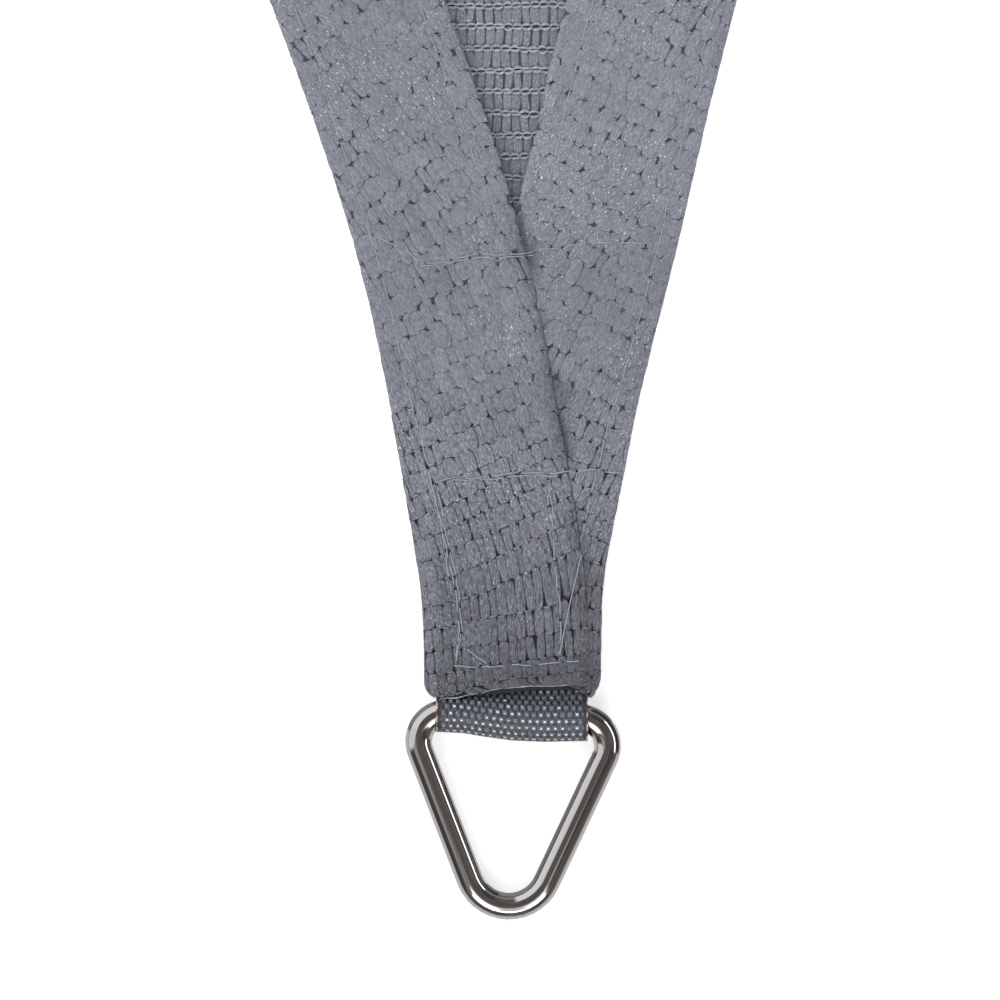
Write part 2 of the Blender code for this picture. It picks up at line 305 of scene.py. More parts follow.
def hem_point(side, t, s):
    """A point of the hem's outer face, s being the way round it from the fold's outermost line.

    Negative s is on the underside. Past the inner edge, s runs down round that edge.
    """
    place, inward = side.at(side.line, t), side.at(side.inward, t)
    local, climb = side.at(side.local, t), side.at(side.climb, t)
    upper = side.is_upper(t)
    x, y = np.abs(local[..., 0]), local[..., 1]

    def room(distance):
        """Room for the webbing at a distance in from the fold."""
        return by_layer(upper, ROOM, y + climb * distance, "height")

    outer = layers_top(upper, y, OUTER_CLIMB)
    inner = layers_top(upper, y + climb * HEM, INNER_CLIMB)
    cut = np.clip(MOUTH_ROUND - y, 0.0, MOUTH_ROUND)
    inset = MOUTH_ROUND - np.sqrt(MOUTH_ROUND**2 - cut**2)
    radius = outer / 2
    crest = np.clip(x - WEBBING_WIDTH / 2 - GAP, *CREST)
    foot = np.maximum(crest - BOX_FOOT, inset + radius)
    lift = EDGE_LIFT * room(crest)

    def top(distance):
        """Height of the hem's top face at a distance in from the fold."""
        slope = ease(distance, foot - SLOPE_SOFT, crest + SLOPE_SOFT)
        share = EDGE_LIFT + (1 - EDGE_LIFT) * slope
        across = ease(distance, TOP_EDGE, HEM - TOP_EDGE)
        soft = pucker(place + inward * distance[..., None]) * ease(distance, *PUCKER_EDGE)
        soft = soft * (1 - ease(y, *PUCKER_END)) * ease(y, 0.0, PUCKER_EDGE[1])
        return outer + (inner - outer) * across + room(distance) * share + soft

    quarter = pi / 2 * radius
    straight = HEM - EDGE_ROUND - inset - radius
    over = s - quarter - straight
    turn = np.clip(s / radius, -pi / 2, pi / 2)
    distance = inset + radius * (1 - np.cos(turn))
    distance = distance + np.clip(np.abs(s) - quarter, 0.0, straight)
    fall = np.clip(over / EDGE_ROUND, 0.0, EDGE_TURN)
    height = np.where(s > quarter, top(distance), lift + radius * (1 + np.sin(turn)))
    height = height - EDGE_ROUND * (1 - np.cos(fall))
    distance = distance + EDGE_ROUND * np.sin(fall)
    plan = place + inward * distance[..., None]
    up = side.nearer(side.up, t)
    across = ((plan - side.nearer(side.origin, t)) * side.nearer(side.right, t)).sum(-1)
    shift = by_layer(upper, MOUTH, across, "across") * (1 - ease(y, 0.0, MOUTH_FADE))
    plan = plan + up * shift[..., None]
    return np.concatenate([plan, (height + unevenness(plan))[..., None]], axis=-1)


def hem_span(side, t):
    """The way round the hem from the fold's outermost line to the top of its inner edge."""
    outer = layers_top(side.is_upper(t), side.at(side.local, t)[..., 1], OUTER_CLIMB)
    return HEM - EDGE_ROUND - outer / 2 + pi / 2 * outer / 2


# ---------------------------------------------------------------- meshes


def new_piece(name, points, faces):
    """A mesh object from points in millimetres."""
    mesh = bpy.data.meshes.new(name)
    mesh.from_pydata((np.asarray(points) * MM).tolist(), [], faces)
    mesh.update()
    piece = bpy.data.objects.new(name, mesh)
    bpy.context.scene.collection.objects.link(piece)
    return piece


def loft_faces(sections, points):
    """Faces of a closed tube through equal sections of points, numbered section by section."""
    faces = []
    for i in range(sections - 1):
        for j in range(points):
            k = (j + 1) % points
            a, b = i * points, (i + 1) * points
            faces.append((a + j, a + k, b + k, b + j))
    faces.append(tuple(range(points))[::-1])
    faces.append(tuple((sections - 1) * points + j for j in range(points)))
    return faces


def repeated(one, count, points):
    """The faces of a number of equal bodies of so many points each, from the faces of one."""
    return [tuple(v + n * points for v in face) for n in range(count) for face in one]


def smooth(piece, angle):
    """Shades a piece smooth, but for edges that turn by more than an angle in degrees."""
    piece.data.shade_smooth()
    piece.data.set_sharp_from_angle(angle=radians(angle))


def empty_slots(piece, count):
    """Gives a mesh its material slots, which settle fills."""
    for _ in range(count):
        piece.data.materials.append(None)


def paint_uv(piece, name, values):
    """Gives a mesh a UV map from a pair of numbers for each of its points."""
    layer = piece.data.uv_layers.new(name=name)
    corners = np.zeros(len(piece.data.loops), int)
    piece.data.loops.foreach_get("vertex_index", corners)
    layer.data.foreach_set("uv", values[corners].astype(np.float32).ravel())


def paint_value(piece, name, values):
    """Gives each point of a mesh a number that materials can read."""
    layer = piece.data.attributes.new(name, "FLOAT", "POINT")
    layer.data.foreach_set("value", np.asarray(values, np.float32))


def outward(piece):
    """Turns the faces of a closed mesh outwards."""
    shape = bmesh.new()
    shape.from_mesh(piece.data)
    bmesh.ops.recalc_face_normals(shape, faces=shape.faces)
    shape.to_mesh(piece.data)
    shape.free()
    return piece


# ---------------------------------------------------------------- the cloth's sheet

CORNER_STATION = 2.0  # spacing of a hem's sections beside the corners
FREE_STATION = 12.0  # and along the rest of a side
FOLD_ANGLES = np.radians(np.linspace(-90.0, 90.0, 9))
TOP_SHARES = np.array([0.03, 0.07, 0.13, 0.2, 0.28, 0.37, 0.46, 0.55, 0.64, 0.73, 0.82, 0.9, 0.96,
                       1.0])
EDGE_ANGLES = np.radians([22.5, 45.0, 67.5, 90.0])
UNDER_SHARES = np.array([0.985, 0.8, 0.55, 0.3, 0.1])
PANEL_NET = 19.0  # spacing of the points inside the body
NET_CLEAR = 0.45  # least distance of those from its outline, as a share of that spacing
SAME_POINT = 1e-4  # points of the body nearer than this become one
DROP_END = (9.0, 3.0)  # from how far to how far below the laid yarns' end the sheet comes up
SHARP = 50.0  # angle past which an edge of the sheet shows, in degrees
FACING_DOWN = -0.5  # a face whose normal is lower than this belongs to the underside
FRONT_FACES, BACK_FACES, END_FACES = range(3)  # the sheet's material slots


def stations(side):
    """Places along a side's line for the hem's sections, close together beside the corners."""
    length = (side.count - 1) * LINE_STEP
    head = np.arange(0.0, CORNER_REACH, CORNER_STATION)
    middle = np.linspace(CORNER_REACH, length - CORNER_REACH, int(length / FREE_STATION))
    return np.concatenate([head, middle, (length - head)[::-1]]) / LINE_STEP


def hem_sections(side, t):
    """Closed sections of a hem: the turned edge, the fold, the top, and back under the flap."""
    y = side.at(side.local, t)[:, 1]
    radius = layers_top(side.is_upper(t), y, OUTER_CLIMB)[:, None] / 2
    span = hem_span(side, t)[:, None]
    quarter = pi / 2 * radius
    fold = FOLD_ANGLES[None] * radius
    top = quarter + TOP_SHARES[None] * (span - quarter)
    edge = span + EDGE_ANGLES[None] * EDGE_ROUND
    under = quarter + UNDER_SHARES[None] * (span - quarter)
    rim = -(quarter + RIM - radius)
    way = np.concatenate([rim, fold, top, edge, under, rim], axis=1)
    points = hem_point(side, np.broadcast_to(t[:, None], way.shape), way)
    last = way.shape[1] - 1
    first_top, first_under = 1 + len(FOLD_ANGLES), last - len(UNDER_SHARES)
    deeper = SHEET_DROP * (1 - ease(np.abs(y), *[KNIT_TOP - below for below in DROP_END]))
    points[:, first_top:first_under, 2] -= deeper[:, None]
    points[:, first_under:last, 2] -= FLAP
    points[:, last, 2] = points[:, last - 1, 2]
    return points, way


def make_hem(side, name):
    """The folded sheet of one hem, from one corner's mouth to the next."""
    t = stations(side)
    points, way = hem_sections(side, t)
    rows, columns = points.shape[:2]
    piece = new_piece(name, points.reshape(-1, 3), loft_faces(rows, columns))
    outward(piece)
    smooth(piece, SHARP)
    unfolded = side.at(side.line, t)[:, None] - side.at(side.inward, t)[:, None] * way[..., None]
    paint_sheet(piece, points.reshape(-1, 3)[:, :2], unfolded.reshape(-1, 2))
    return piece


def paint_sheet(piece, plan, unfolded):
    """Gives a sheet its pattern's rows and stitches, and its height above the nearest mouth.

    The only faces with more than four corners are those that close a hem's ends.
    """
    pattern = to_pattern(unfolded)
    rows = np.stack([pattern[:, 0] / COURSE, (FIRST_ROW - pattern[:, 1]) / WALE + 0.5], axis=1)
    paint_uv(piece, "knit", rows)
    heights = [to_corner(corner, plan)[:, 1] for corner in range(3)]
    paint_value(piece, "climb", np.min(heights, axis=0))
    empty_slots(piece, 3)
    for face in piece.data.polygons:
        below = face.normal.z < FACING_DOWN
        face.material_index = BACK_FACES if below else FRONT_FACES
        if len(face.vertices) > 4:
            face.material_index = END_FACES


def inside(points, outline):
    """Which points of the plan lie inside a closed outline."""
    start, end = outline, np.roll(outline, -1, axis=0)
    result = np.zeros(len(points), bool)
    for (x0, y0), (x1, y1) in zip(start, end):
        crosses = (y0 > points[:, 1]) != (y1 > points[:, 1])
        if y1 != y0:
            at = x0 + (points[:, 1] - y0) * (x1 - x0) / (y1 - y0)
            result ^= crosses & (points[:, 0] < at)
    return result


def panel_outline(sides):
    """The body's outline: just inside the hems' turned edges, straight across each mouth."""
    rim = []
    for side in (sides[0], sides[2], sides[1]):
        t = stations(side)[::2]
        t = t[side.at(side.local, t)[:, 1] > RIM / 2]
        rim.append(side.at(side.line, t) + side.at(side.inward, t) * RIM)
    return np.concatenate(rim)


def make_panel(sides):
    """The sheet of the body, between and under the hems."""
    rim = panel_outline(sides)
    low, high = rim.min(0), rim.max(0)
    rows = np.arange(low[1], high[1], PANEL_NET * sqrt(3) / 2)
    net = []
    for i, y in enumerate(rows):
        x = np.arange(low[0] + (i % 2) * PANEL_NET / 2, high[0], PANEL_NET)
        net.append(np.stack([x, np.full(len(x), y)], axis=1))
    net = np.concatenate(net)
    net = net[inside(net, rim)]
    gaps = np.array([((rim - point) ** 2).sum(1).min() for point in net])
    clear = gaps > (PANEL_NET * NET_CLEAR) ** 2
    plan = np.concatenate([rim, net[clear]])
    edges = [(i, (i + 1) % len(rim)) for i in range(len(rim))]
    corners, _, triangles = delaunay_2d_cdt([Vector(p) for p in plan], edges, [], 1, SAME_POINT)[:3]
    flat = np.array([tuple(corner) for corner in corners])
    height = PANEL - RELIEF + unevenness(flat)
    points = np.concatenate([flat, height[:, None]], axis=1)
    piece = new_piece("sail_panel", points, [tuple(triangle) for triangle in triangles])
    outward(piece)
    if piece.data.polygons[0].normal.z < 0:
        piece.data.flip_normals()
    wall = piece.modifiers.new("thickness", "SOLIDIFY")
    wall.thickness = (PANEL - RELIEF) * MM
    wall.offset = -1.0
    only(piece)
    bpy.ops.object.modifier_apply(modifier=wall.name)
    smooth(piece, SHARP)
    plan = np.array([vertex.co.xy for vertex in piece.data.vertices]) / MM
    paint_sheet(piece, plan, plan)
    return piece


def only(piece):
    """Selects one object and makes it the active one."""
    bpy.ops.object.select_all(action="DESELECT")
    piece.select_set(True)
    bpy.context.view_layer.objects.active = piece


# ---------------------------------------------------------------- the knit

WALE = 4.31  # spacing of the rows of stitches
COURSE = 1.84  # spacing of the stitches along a row
FIRST_ROW = 137.8  # height of one row in the front corner
ROW_WAVES = ((0.16, 7.3, 1.9), (0.10, 3.1, 4.3))  # size, length and turn from row to row
ROW_SHIFT = (0.35, 2.4)  # sideways shift of a row's stitches, and its turn from row to row
KNIT_TOP = 160.0  # the yarns are laid one by one up to this height
SHEET_DROP = 0.16  # the sheet below them lies this much deeper there
MOUTH_OVER = 1.2  # yarns reach this far past the mouth before they are cut
HIDDEN = 2.4  # and this far under the edge of a hem that covers them
SLOPE_STEPS = (0.6, 0.12)  # half steps along and round a hem over which its slope is read
SPARE = 2  # rows and columns looked at past a ground's reach
LOOSE_FROM = (34.0, 66.0)  # heights between which the stitches grow loose and round
TIGHT = (15.0, 60.0)  # heights between which the cloth's gaps close up
FOLD_FLAT = 0.45  # share of their height that yarns lose round the fold
PRESS = 0.75  # share of their height that yarns lose under a line of sewing
PRESS_REACH = 0.7  # and how far to either side of it

# Where rows rise to the left: past an x, over a reach, by a slope, and at which heights
ROW_RISE = {"past": -17.0, "reach": 40.0, "slope": 0.09, "above": (-60.0, -20.0),
            "below": (25.0, 70.0)}

# How the rows bow round the wide tapes where the cloth lies loose: size, least share of it, and
# uneven share with its turns from row to row and from stitch to stitch
SCALLOP = 0.42
BOW_SHARES = (0.95, 0.6)
BOW_TURNS = (12.9, 7.3)

# Share of the tapes that spread over their neighbours: of every other tape, and of the rest
# beside the mouth and where the cloth lies loose
WIDE_SHARES = (0.14, 0.28, 0.86)

# Front tapes. Widths are shares of a course, the rest is in mm.
WIDE_TAPE = {"ends": (0.55, 0.95), "middle": (1.4, 1.9), "foot": (0.10, 0.22)}
NARROW_TAPE = {"ends": (0.45, 0.75), "middle": (1.0, 1.25), "foot": (0.02, 0.14)}
FRONT_TAPE = {
    "zigzag": (0.0, 0.22),  # lean that changes sides from column to column
    "lean": (-0.12, 0.12),
    "rise": (0.12, 0.28),  # of the middle over the foot
    "span": (-0.01, 1.01),  # start and end between the two rows
    "round": (0.24, 0.3),  # power of the belly's curve, and its gain where the cloth lies loose
    "tight": 0.25,  # share of the ends' width lost where the cloth is tight
}
BACK_TAPE = {
    "ends": (0.66, 0.94),
    "middle": (0.72, 1.2),
    "lean": (-0.3, 0.3),
    "rise": (0.04, 0.16),
    "foot": (0.0, 0.16),
    "span": (0.14, 1.0),
    "round": 0.3,
}
TAPE_PLACES = np.array([-1.0, -0.8, -0.45, 0.0, 0.45, 0.8, 1.0])  # points across a tape
TAPE_ALONG = 8  # and along it
ASIDE = (-0.12, 0.12)  # sideways place of a tape
CROWN = 0.6  # how much lower its sides lie than its middle, as a share of the rise
RIPPLE = {"size": (0.0, 0.06), "turns": (2.0, 6.5), "shift": (0, 6.28)}  # its lengthwise ripples
TIP = (-0.11, 0.11)  # its tilt to a side
BRIDGE = 0.1  # least height of its middle over the line between its sides
YARN_FIELD = 400  # reach of the noise field in which each yarn has a place of its own

# Short bars over the front tapes' ends
BAR = {
    "share": (0.82, 0.16),  # share of the stitches that show one, and its loss where loose
    "wander": 0.25,
    "follow": 1.2,  # how strongly a bar follows its row's bow
    "depth": -0.16,  # height of its ends
    "arch": (0.42, 0.58),  # and of its middle over them
    "arch_power": 0.6,
    "radius": 0.15,
    "thin": 0.25,  # share of that lost where loose
    "sides": 4,
    "steps": 6,
}

# Two strands of a chain along each row of the back face
CHAIN = {
    "wander": (-0.16, 0.16),
    "knot": 0.18,  # half of its width where two stitches meet
    "bow": (0.20, 0.40),  # and what it gains between them
    "bow_power": 0.7,
    "tilt": (-0.1, 0.1),
    "tilt_ends": 0.4,  # share of the tilt at the stitch's ends
    "height": 0.42,
    "cross": 0.16,  # how far one strand passes over the other
    "uneven": (-0.10, 0.08),
    "radius": 0.31,
    "thick": (0.9, 0.0, 0.35),  # shares of the radius: at the ends, and least and most gain
    "flat": 0.8,
    "sides": 6,
    "steps": 7,
}
NO_BORDER = 3.0  # distance from a tape's borders that strands are given
KNIT_SHARP = 75.0  # angle past which a yarn's edge shows, in degrees

# Painted shade of the hems beside a corner: heights and distances in mm, the rest shares of the
# tone
SHADE_WAVES = ((0.9, 5.3, 0.0), (0.6, 2.1, 1.0))  # size, length and turn of a border's waves
MIDDLE = ((45.0, 60.0), (88.0, 106.0))  # heights where the darker middle begins and ends
MIDDLE_DARK = {"upper": 0.06, "lower": 0.13}
# painted shade at the mouth: its share, and the heights over which it fades out
MOUTH_DARK = 0.14
MOUTH_SHADE = (4.0, 9.0)
COVER_SHADOW = {"tone": 0.7, "wave": 1.5, "reach": (-1.0, 3.2)}  # painted shadow on the lower hem beside the hem that lies on top
# painted shade line in the gap at the V's tip, where the upper hem's inner edge crosses the lower
# hem
TIP_SHADE_LINE = {"dark": 0.6, "from": (82.0, 89.0), "to": (97.0, 103.0), "reach": (0.4, 1.6)}
INNER_EDGE_SHADE = {"dark": 0.26, "reach": (-0.5, 4.0), "to": (88.0, 104.0)}  # painted shade along the upper hem's inner edge


def row_height(row, x):
    """Height of a row of stitches in the front corner's frame, a little wavy.

    The rows rise a little to the left in the low part that is folded over at the mouth.
    """
    height = FIRST_ROW - WALE * row
    wave = sum(size * np.sin(x / length + row * turn) for size, length, turn in ROW_WAVES)
    rise = np.clip(ROW_RISE["past"] - x, 0.0, ROW_RISE["reach"])
    rise = rise * (1 - ease(height, *ROW_RISE["below"])) * ease(height, *ROW_RISE["above"])
    return height + wave + ROW_RISE["slope"] * rise


def to_pattern(plan):
    """The knit's own plan: rows run along the front corner's x axis all over the cloth."""
    return to_corner(0, plan)


def from_pattern(points):
    """Places of the pattern in the sail's plan."""
    return to_plan(0, points[..., 0], points[..., 1])


def raised(side, t, s, height):
    """Points at a height over a hem's outer face, along its normal."""
    step_t, step_s = SLOPE_STEPS
    over_t = hem_point(side, t + step_t, s) - hem_point(side, t - step_t, s)
    over_s = hem_point(side, t, s + step_s) - hem_point(side, t, s - step_s)
    return hem_point(side, t, s) + unit(np.cross(over_s, over_t)) * height[..., None]


class Flap:
    """A hem beside a corner, as a ground on which the unfolded cloth's yarns are laid."""

    face = "front"
    low_shade_span = (0.0, 62.0)  # heights between which the painted shade low on the hem fades out
    # darkest share of that painted shade, at the mouth
    low_shade_tone = 0.57
    crumple = ([0.0, 8.0, 14.0, 40.0, 75.0], [1.25, 1.15, 0.9, 0.75, 0.25])  # by height
    # painted sheen: the lower hem's tapes paler than the upper hem's, as they catch the light
    upper_tone, lower_tone = 0.98, 1.05
    net = (60, 12)  # places along and round the hem that its reach is read at
    net_span = (-2.0, HEM + 1.0)
    shown_from, shown_past = -2.2, 1.1  # way round the hem where yarns lie: from under its fold
    laid_from, laid_past = -3.2, 1.5  # to past its inner edge, and furthest reach of their ends
    fold = (0.6, 3.2)  # way round the hem over which yarns rise from the fold

    def __init__(self, side, head, cover=None):
        self.side, self.head, self.cover = side, head, cover
        self.tones = (self.upper_tone if head else self.lower_tone,) * 2
        self.corner = side.first if head else side.last
        reach = int(CORNER_REACH / LINE_STEP)
        window = (0, reach) if head else (side.count - 1 - reach, side.count - 1)
        t = np.linspace(*window, self.net[0])
        s = np.linspace(*self.net_span, self.net[1])
        t, s = np.meshgrid(t, s)
        unfolded = side.at(side.line, t) - side.at(side.inward, t) * s[..., None]
        pattern = to_pattern(unfolded).reshape(-1, 2)
        self.low, self.high = pattern.min(0), pattern.max(0)

    def shade(self, plan):
        """Painted shade where the upper hem lies over the lower one, along the upper hem's inner
        edge and at the mouth, and darkness at mid height.
        """
        height = to_corner(self.corner, plan)[:, 1]
        wave = sum(size * np.sin(height / length + turn) for size, length, turn in SHADE_WAVES)
        if self.cover is not None:
            layer = "lower"
            beside = -self.cover.foot(plan, True)[1] - HEM
            crack = ease(height, *TIP_SHADE_LINE["from"]) * (1 - ease(height, *TIP_SHADE_LINE["to"]))
            crack = crack * (1 - ease(beside, *TIP_SHADE_LINE["reach"]))
            light = ease(beside + COVER_SHADOW["wave"] * wave, *COVER_SHADOW["reach"])
            tone = COVER_SHADOW["tone"] + (1 - COVER_SHADOW["tone"]) * light
            tone = tone * (1 - TIP_SHADE_LINE["dark"] * crack)
        else:
            layer = "upper"
            beside = HEM + self.side.foot(plan, self.head)[1]
            dark = 1 - ease(beside + wave, *INNER_EDGE_SHADE["reach"])
            tone = 1 - INNER_EDGE_SHADE["dark"] * dark * (1 - ease(height, *INNER_EDGE_SHADE["to"]))
        begins, ends = MIDDLE
        middle = ease(height, *begins) * (1 - ease(height, *ends))
        at_mouth = 1 - ease(height, *MOUTH_SHADE)
        return tone * (1 - MIDDLE_DARK[layer] * middle) * (1 - MOUTH_DARK * at_mouth)

    def covers(self, pattern):
        """Which places of the pattern show on this ground."""
        t, s = self.side.foot(from_pattern(pattern), self.head)
        laid = hem_point(self.side, t, s)[:, :2]
        height = to_corner(self.corner, laid)[:, 1]
        end = t if self.head else self.side.count - 1 - t
        shown = (end > -MOUTH_OVER / LINE_STEP) & (height < KNIT_TOP)
        shown &= (s > self.shown_from) & (s < hem_span(self.side, t) + self.shown_past)
        if self.cover is not None:
            shown &= -self.cover.foot(laid, True)[1] > HEM - HIDDEN
        return shown

    def lay(self, pattern, height):
        """Points at heights over places of the pattern, once the cloth is folded."""
        t, s = self.side.foot(from_pattern(pattern), self.head)
        t = np.clip(t, 0.0, self.side.last_place)
        s = np.clip(s, self.laid_from, hem_span(self.side, t) + self.laid_past)
        height = height * (1 - FOLD_FLAT * (1 - ease(s, *self.fold)))
        return raised(self.side, t, s, height)


class Body:
    """The body's cloth between the two hems of a corner, seen from its back."""

    face = "back"
    # Painted shade towards the body's tip, where the hems shade it: heights over which it fades
    # out, and its darkest share
    low_shade_span = (88.0, 126.0)
    low_shade_tone = 0.7
    crumple = ([0.0], [0.3])
    tones = (0.96, 1.08)  # of the tapes and of the chains
    foot = 60.0  # the hems hide the body below this height
    half = 60.0  # half of its width that is looked at
    borders = ((True, 0.62, 4.5), (False, 0.8, 2.5))  # painted shadow of each hem on the body: side's head, tone and width

    def __init__(self, corner, left, right):
        self.corner, self.sides = corner, (left, right)
        x, y = np.meshgrid([-self.half, self.half], [self.foot, KNIT_TOP])
        pattern = to_pattern(to_plan(corner, x, y)).reshape(-1, 2)
        self.low, self.high = pattern.min(0), pattern.max(0)

    def shade(self, plan):
        """Painted shadow beside the two hems that lie higher."""
        tone = np.ones(len(plan))
        for side, (head, least, width) in zip(self.sides, self.borders):
            beside = -side.foot(plan, head)[1] - HEM
            tone *= least + (1 - least) * ease(beside, 0.0, width)
        return tone

    def covers(self, pattern):
        """Which places of the pattern show on this ground."""
        plan = from_pattern(pattern)
        height = to_corner(self.corner, plan)[:, 1]
        shown = (height > self.foot) & (height < KNIT_TOP)
        for side, (head, _, _) in zip(self.sides, self.borders):
            shown &= -side.foot(plan, head)[1] > HEM - HIDDEN / 2
        return shown

    def lay(self, pattern, height):
        """Points at heights over places of the pattern."""
        plan = from_pattern(pattern)
        level = PANEL - RELIEF + unevenness(plan)
        return np.concatenate([plan, (level + height)[:, None]], axis=1)


def cells(ground):
    """Rows and columns of the pattern that reach over a ground."""
    low, high = ground.low, ground.high
    first_row, last_row = [int((FIRST_ROW - y) / WALE) for y in (high[1], low[1])]
    first_column, last_column = [int(x / COURSE) for x in (low[0], high[0])]
    rows = np.arange(first_row - SPARE, last_row + SPARE)
    columns = np.arange(first_column - SPARE, last_column + SPARE)
    return [a.ravel() for a in np.meshgrid(rows, columns)]


def row_shift(row):
    """Sideways place of a row's stitches."""
    size, turn = ROW_SHIFT
    return size * np.sin(row * turn)


def pressed(ground, pattern):
    """How far the yarns at places of the pattern are pressed down beside a line of sewing."""
    if ground.face == "back":
        return np.zeros(len(pattern))
    laid = ground.lay(pattern, np.zeros(len(pattern)))[:, :2]
    local = to_corner(ground.corner, laid)
    nearest = np.full(len(local), np.inf)
    for line in sewn_lines(ground.side, ground.corner):
        for start, end in zip(line[:-1], line[1:]):
            way = end - start
            share = np.clip((local - start) @ way / max(way @ way, 1e-9), 0.0, 1.0)
            gap = local - start - share[:, None] * way
            nearest = np.minimum(nearest, np.hypot(gap[:, 0], gap[:, 1]))
    return np.exp(-((nearest / PRESS_REACH) ** 2))


def laid_height(ground, x, y):
    """Height above the mouth of places of the pattern, once the cloth is folded."""
    laid = ground.lay(np.stack([x, y], axis=1), np.zeros(len(x)))[:, :2]
    return to_corner(ground.corner, laid)[:, 1]


def bows(ground, row, column, x):
    """How far the row at a stitch bows away from the wide tape that ends there."""
    loose = ease(laid_height(ground, x, row_height(row, x)), *LOOSE_FROM)
    least, gain = BOW_SHARES
    uneven = least + gain * np.sin(row * BOW_TURNS[0] + column * BOW_TURNS[1])
    return SCALLOP * loose * uneven * np.where((row + column) % 2 == 0, 1.0, -1.0)


def front_tapes(ground, rng, each, cell):
    """Widths, roundness, lean, rise and foot of the front face's tapes."""
    row, column, x, y = cell
    height = laid_height(ground, x, y)
    loose = ease(height, *LOOSE_FROM)
    other, beside_mouth, free = WIDE_SHARES
    share = np.where((row + column) % 2 == 0, beside_mouth + (free - beside_mouth) * loose, other)
    wide = (rng.random(len(row)) < share)[:, None, None]

    def either(name):
        """One draw for each tape, from its own kind's range."""
        return np.where(wide, each(*WIDE_TAPE[name]), each(*NARROW_TAPE[name]))

    ends = either("ends")
    middle = either("middle")
    tight = 1 - ease(height, *TIGHT)[:, None, None]
    ends = ends * (1 - FRONT_TAPE["tight"] * tight)
    least, gain = FRONT_TAPE["round"]
    roundness = least + gain * loose[:, None, None]
    turn = np.where(column % 2 == 0, 1, -1)[:, None, None]
    lean = turn * each(*FRONT_TAPE["zigzag"]) + each(*FRONT_TAPE["lean"])
    rise = each(*FRONT_TAPE["rise"])
    return ends, middle, roundness, lean, rise, either("foot")


def back_tapes(each):
    """Widths, roundness, lean, rise and foot of the back face's tapes."""
    ends, middle, lean, rise, foot = [
        each(*BACK_TAPE[name]) for name in ("ends", "middle", "lean", "rise", "foot")
    ]
    return ends, middle, BACK_TAPE["round"], lean, rise, foot


def tapes(ground, rng):
    """Flat yarns between the rows of stitches, pinched where they pass under a row.

    The front face shows them wide and full, the back face narrow between the chains. Returns
    points, faces, places along the yarn, tints, and distances from the tape's sides and ends.
    """
    row, column = cells(ground)
    x = (column + 0.5) * COURSE + row_shift(row)
    y = (row_height(row, x) + row_height(row + 1, x)) / 2
    kept = ground.covers(np.stack([x, y], axis=1))
    row, column, x, y = row[kept], column[kept], x[kept], y[kept]
    count = len(row)

    def each(low, high):
        """One draw for each yarn."""
        return rng.uniform(low, high, count)[:, None, None]

    bottom, top = row_height(row + 1, x), row_height(row, x)
    if ground.face == "front":
        shape = front_tapes(ground, rng, each, (row, column, x, y))
        bottom = bottom + bows(ground, row + 1, column, x)
        top = top + bows(ground, row, column, x)
        start, end = FRONT_TAPE["span"]
    else:
        shape = back_tapes(each)
        start, end = BACK_TAPE["span"]
    ends, middle, roundness, lean, rise, foot = shape
    across = TAPE_PLACES[None, None, :]
    along = (0.5 - 0.5 * np.cos(np.linspace(0, pi, TAPE_ALONG)))[None, :, None]
    belly = np.sin(pi * along) ** roundness
    width = COURSE * (ends + (middle - ends) * belly)
    centre = x[:, None, None] + lean * (2 * along - 1) * COURSE / 2 + each(*ASIDE)
    px = centre + across * width / 2
    bottom, top = bottom[:, None, None], top[:, None, None]
    py = bottom + (top - bottom) * (start + (end - start) * along)
    pattern = np.stack([px, np.broadcast_to(py, px.shape)], axis=-1).reshape(-1, 2)
    size, turns, shift = [each(*RIPPLE[name]) for name in ("size", "turns", "shift")]
    ripple = size * np.sin(across * turns + shift)
    height = foot + belly * (rise * (1 - CROWN * across**2) + ripple + each(*TIP) * across)
    height = height.ravel() * (1 - PRESS * pressed(ground, pattern))
    points = bridged(ground.lay(pattern, height).reshape(px.shape + (3,)))
    run = np.stack([across * width / 2, np.broadcast_to(along * WALE, px.shape)], axis=-1)
    run = run + rng.uniform(0, YARN_FIELD, (count, 1, 1, 2))
    tint = np.broadcast_to(each(-1, 1), px.shape)
    to_side = (1 - np.abs(across)) * width / 2
    to_end = np.broadcast_to(np.minimum(along, 1 - along) * WALE, px.shape)
    border = np.stack([to_side, to_end], axis=-1).reshape(-1, 2)
    return points, pillow_faces(count), run.reshape(-1, 2), tint.ravel(), border


def bridged(points):
    """Tapes lifted over the hollows of their ground, so that their undersides stay below them."""
    share = (TAPE_PLACES[None, None, :, None] + 1) / 2
    chord = points[:, :, :1] + (points[:, :, -1:] - points[:, :, :1]) * share
    least = chord[..., 2] + BRIDGE * (1 - TAPE_PLACES**2)
    height = np.maximum(points[..., 2], least)
    return np.concatenate([points[..., :2], height[..., None]], axis=-1).reshape(-1, 3)


def pillow_faces(count):
    """Faces of closed flat bodies: a net above, one strip below and the two ends."""
    one = []
    a, b = len(TAPE_PLACES), TAPE_ALONG
    for i in range(b - 1):
        for j in range(a - 1):
            k = i * a + j
            one.append((k, k + 1, k + a + 1, k + a))
        one.append((i * a + a - 1, i * a, (i + 1) * a, (i + 1) * a + a - 1))
    one.append(tuple(range(a))[::-1])
    one.append(tuple((b - 1) * a + j for j in range(a)))
    return repeated(one, count, a * b)


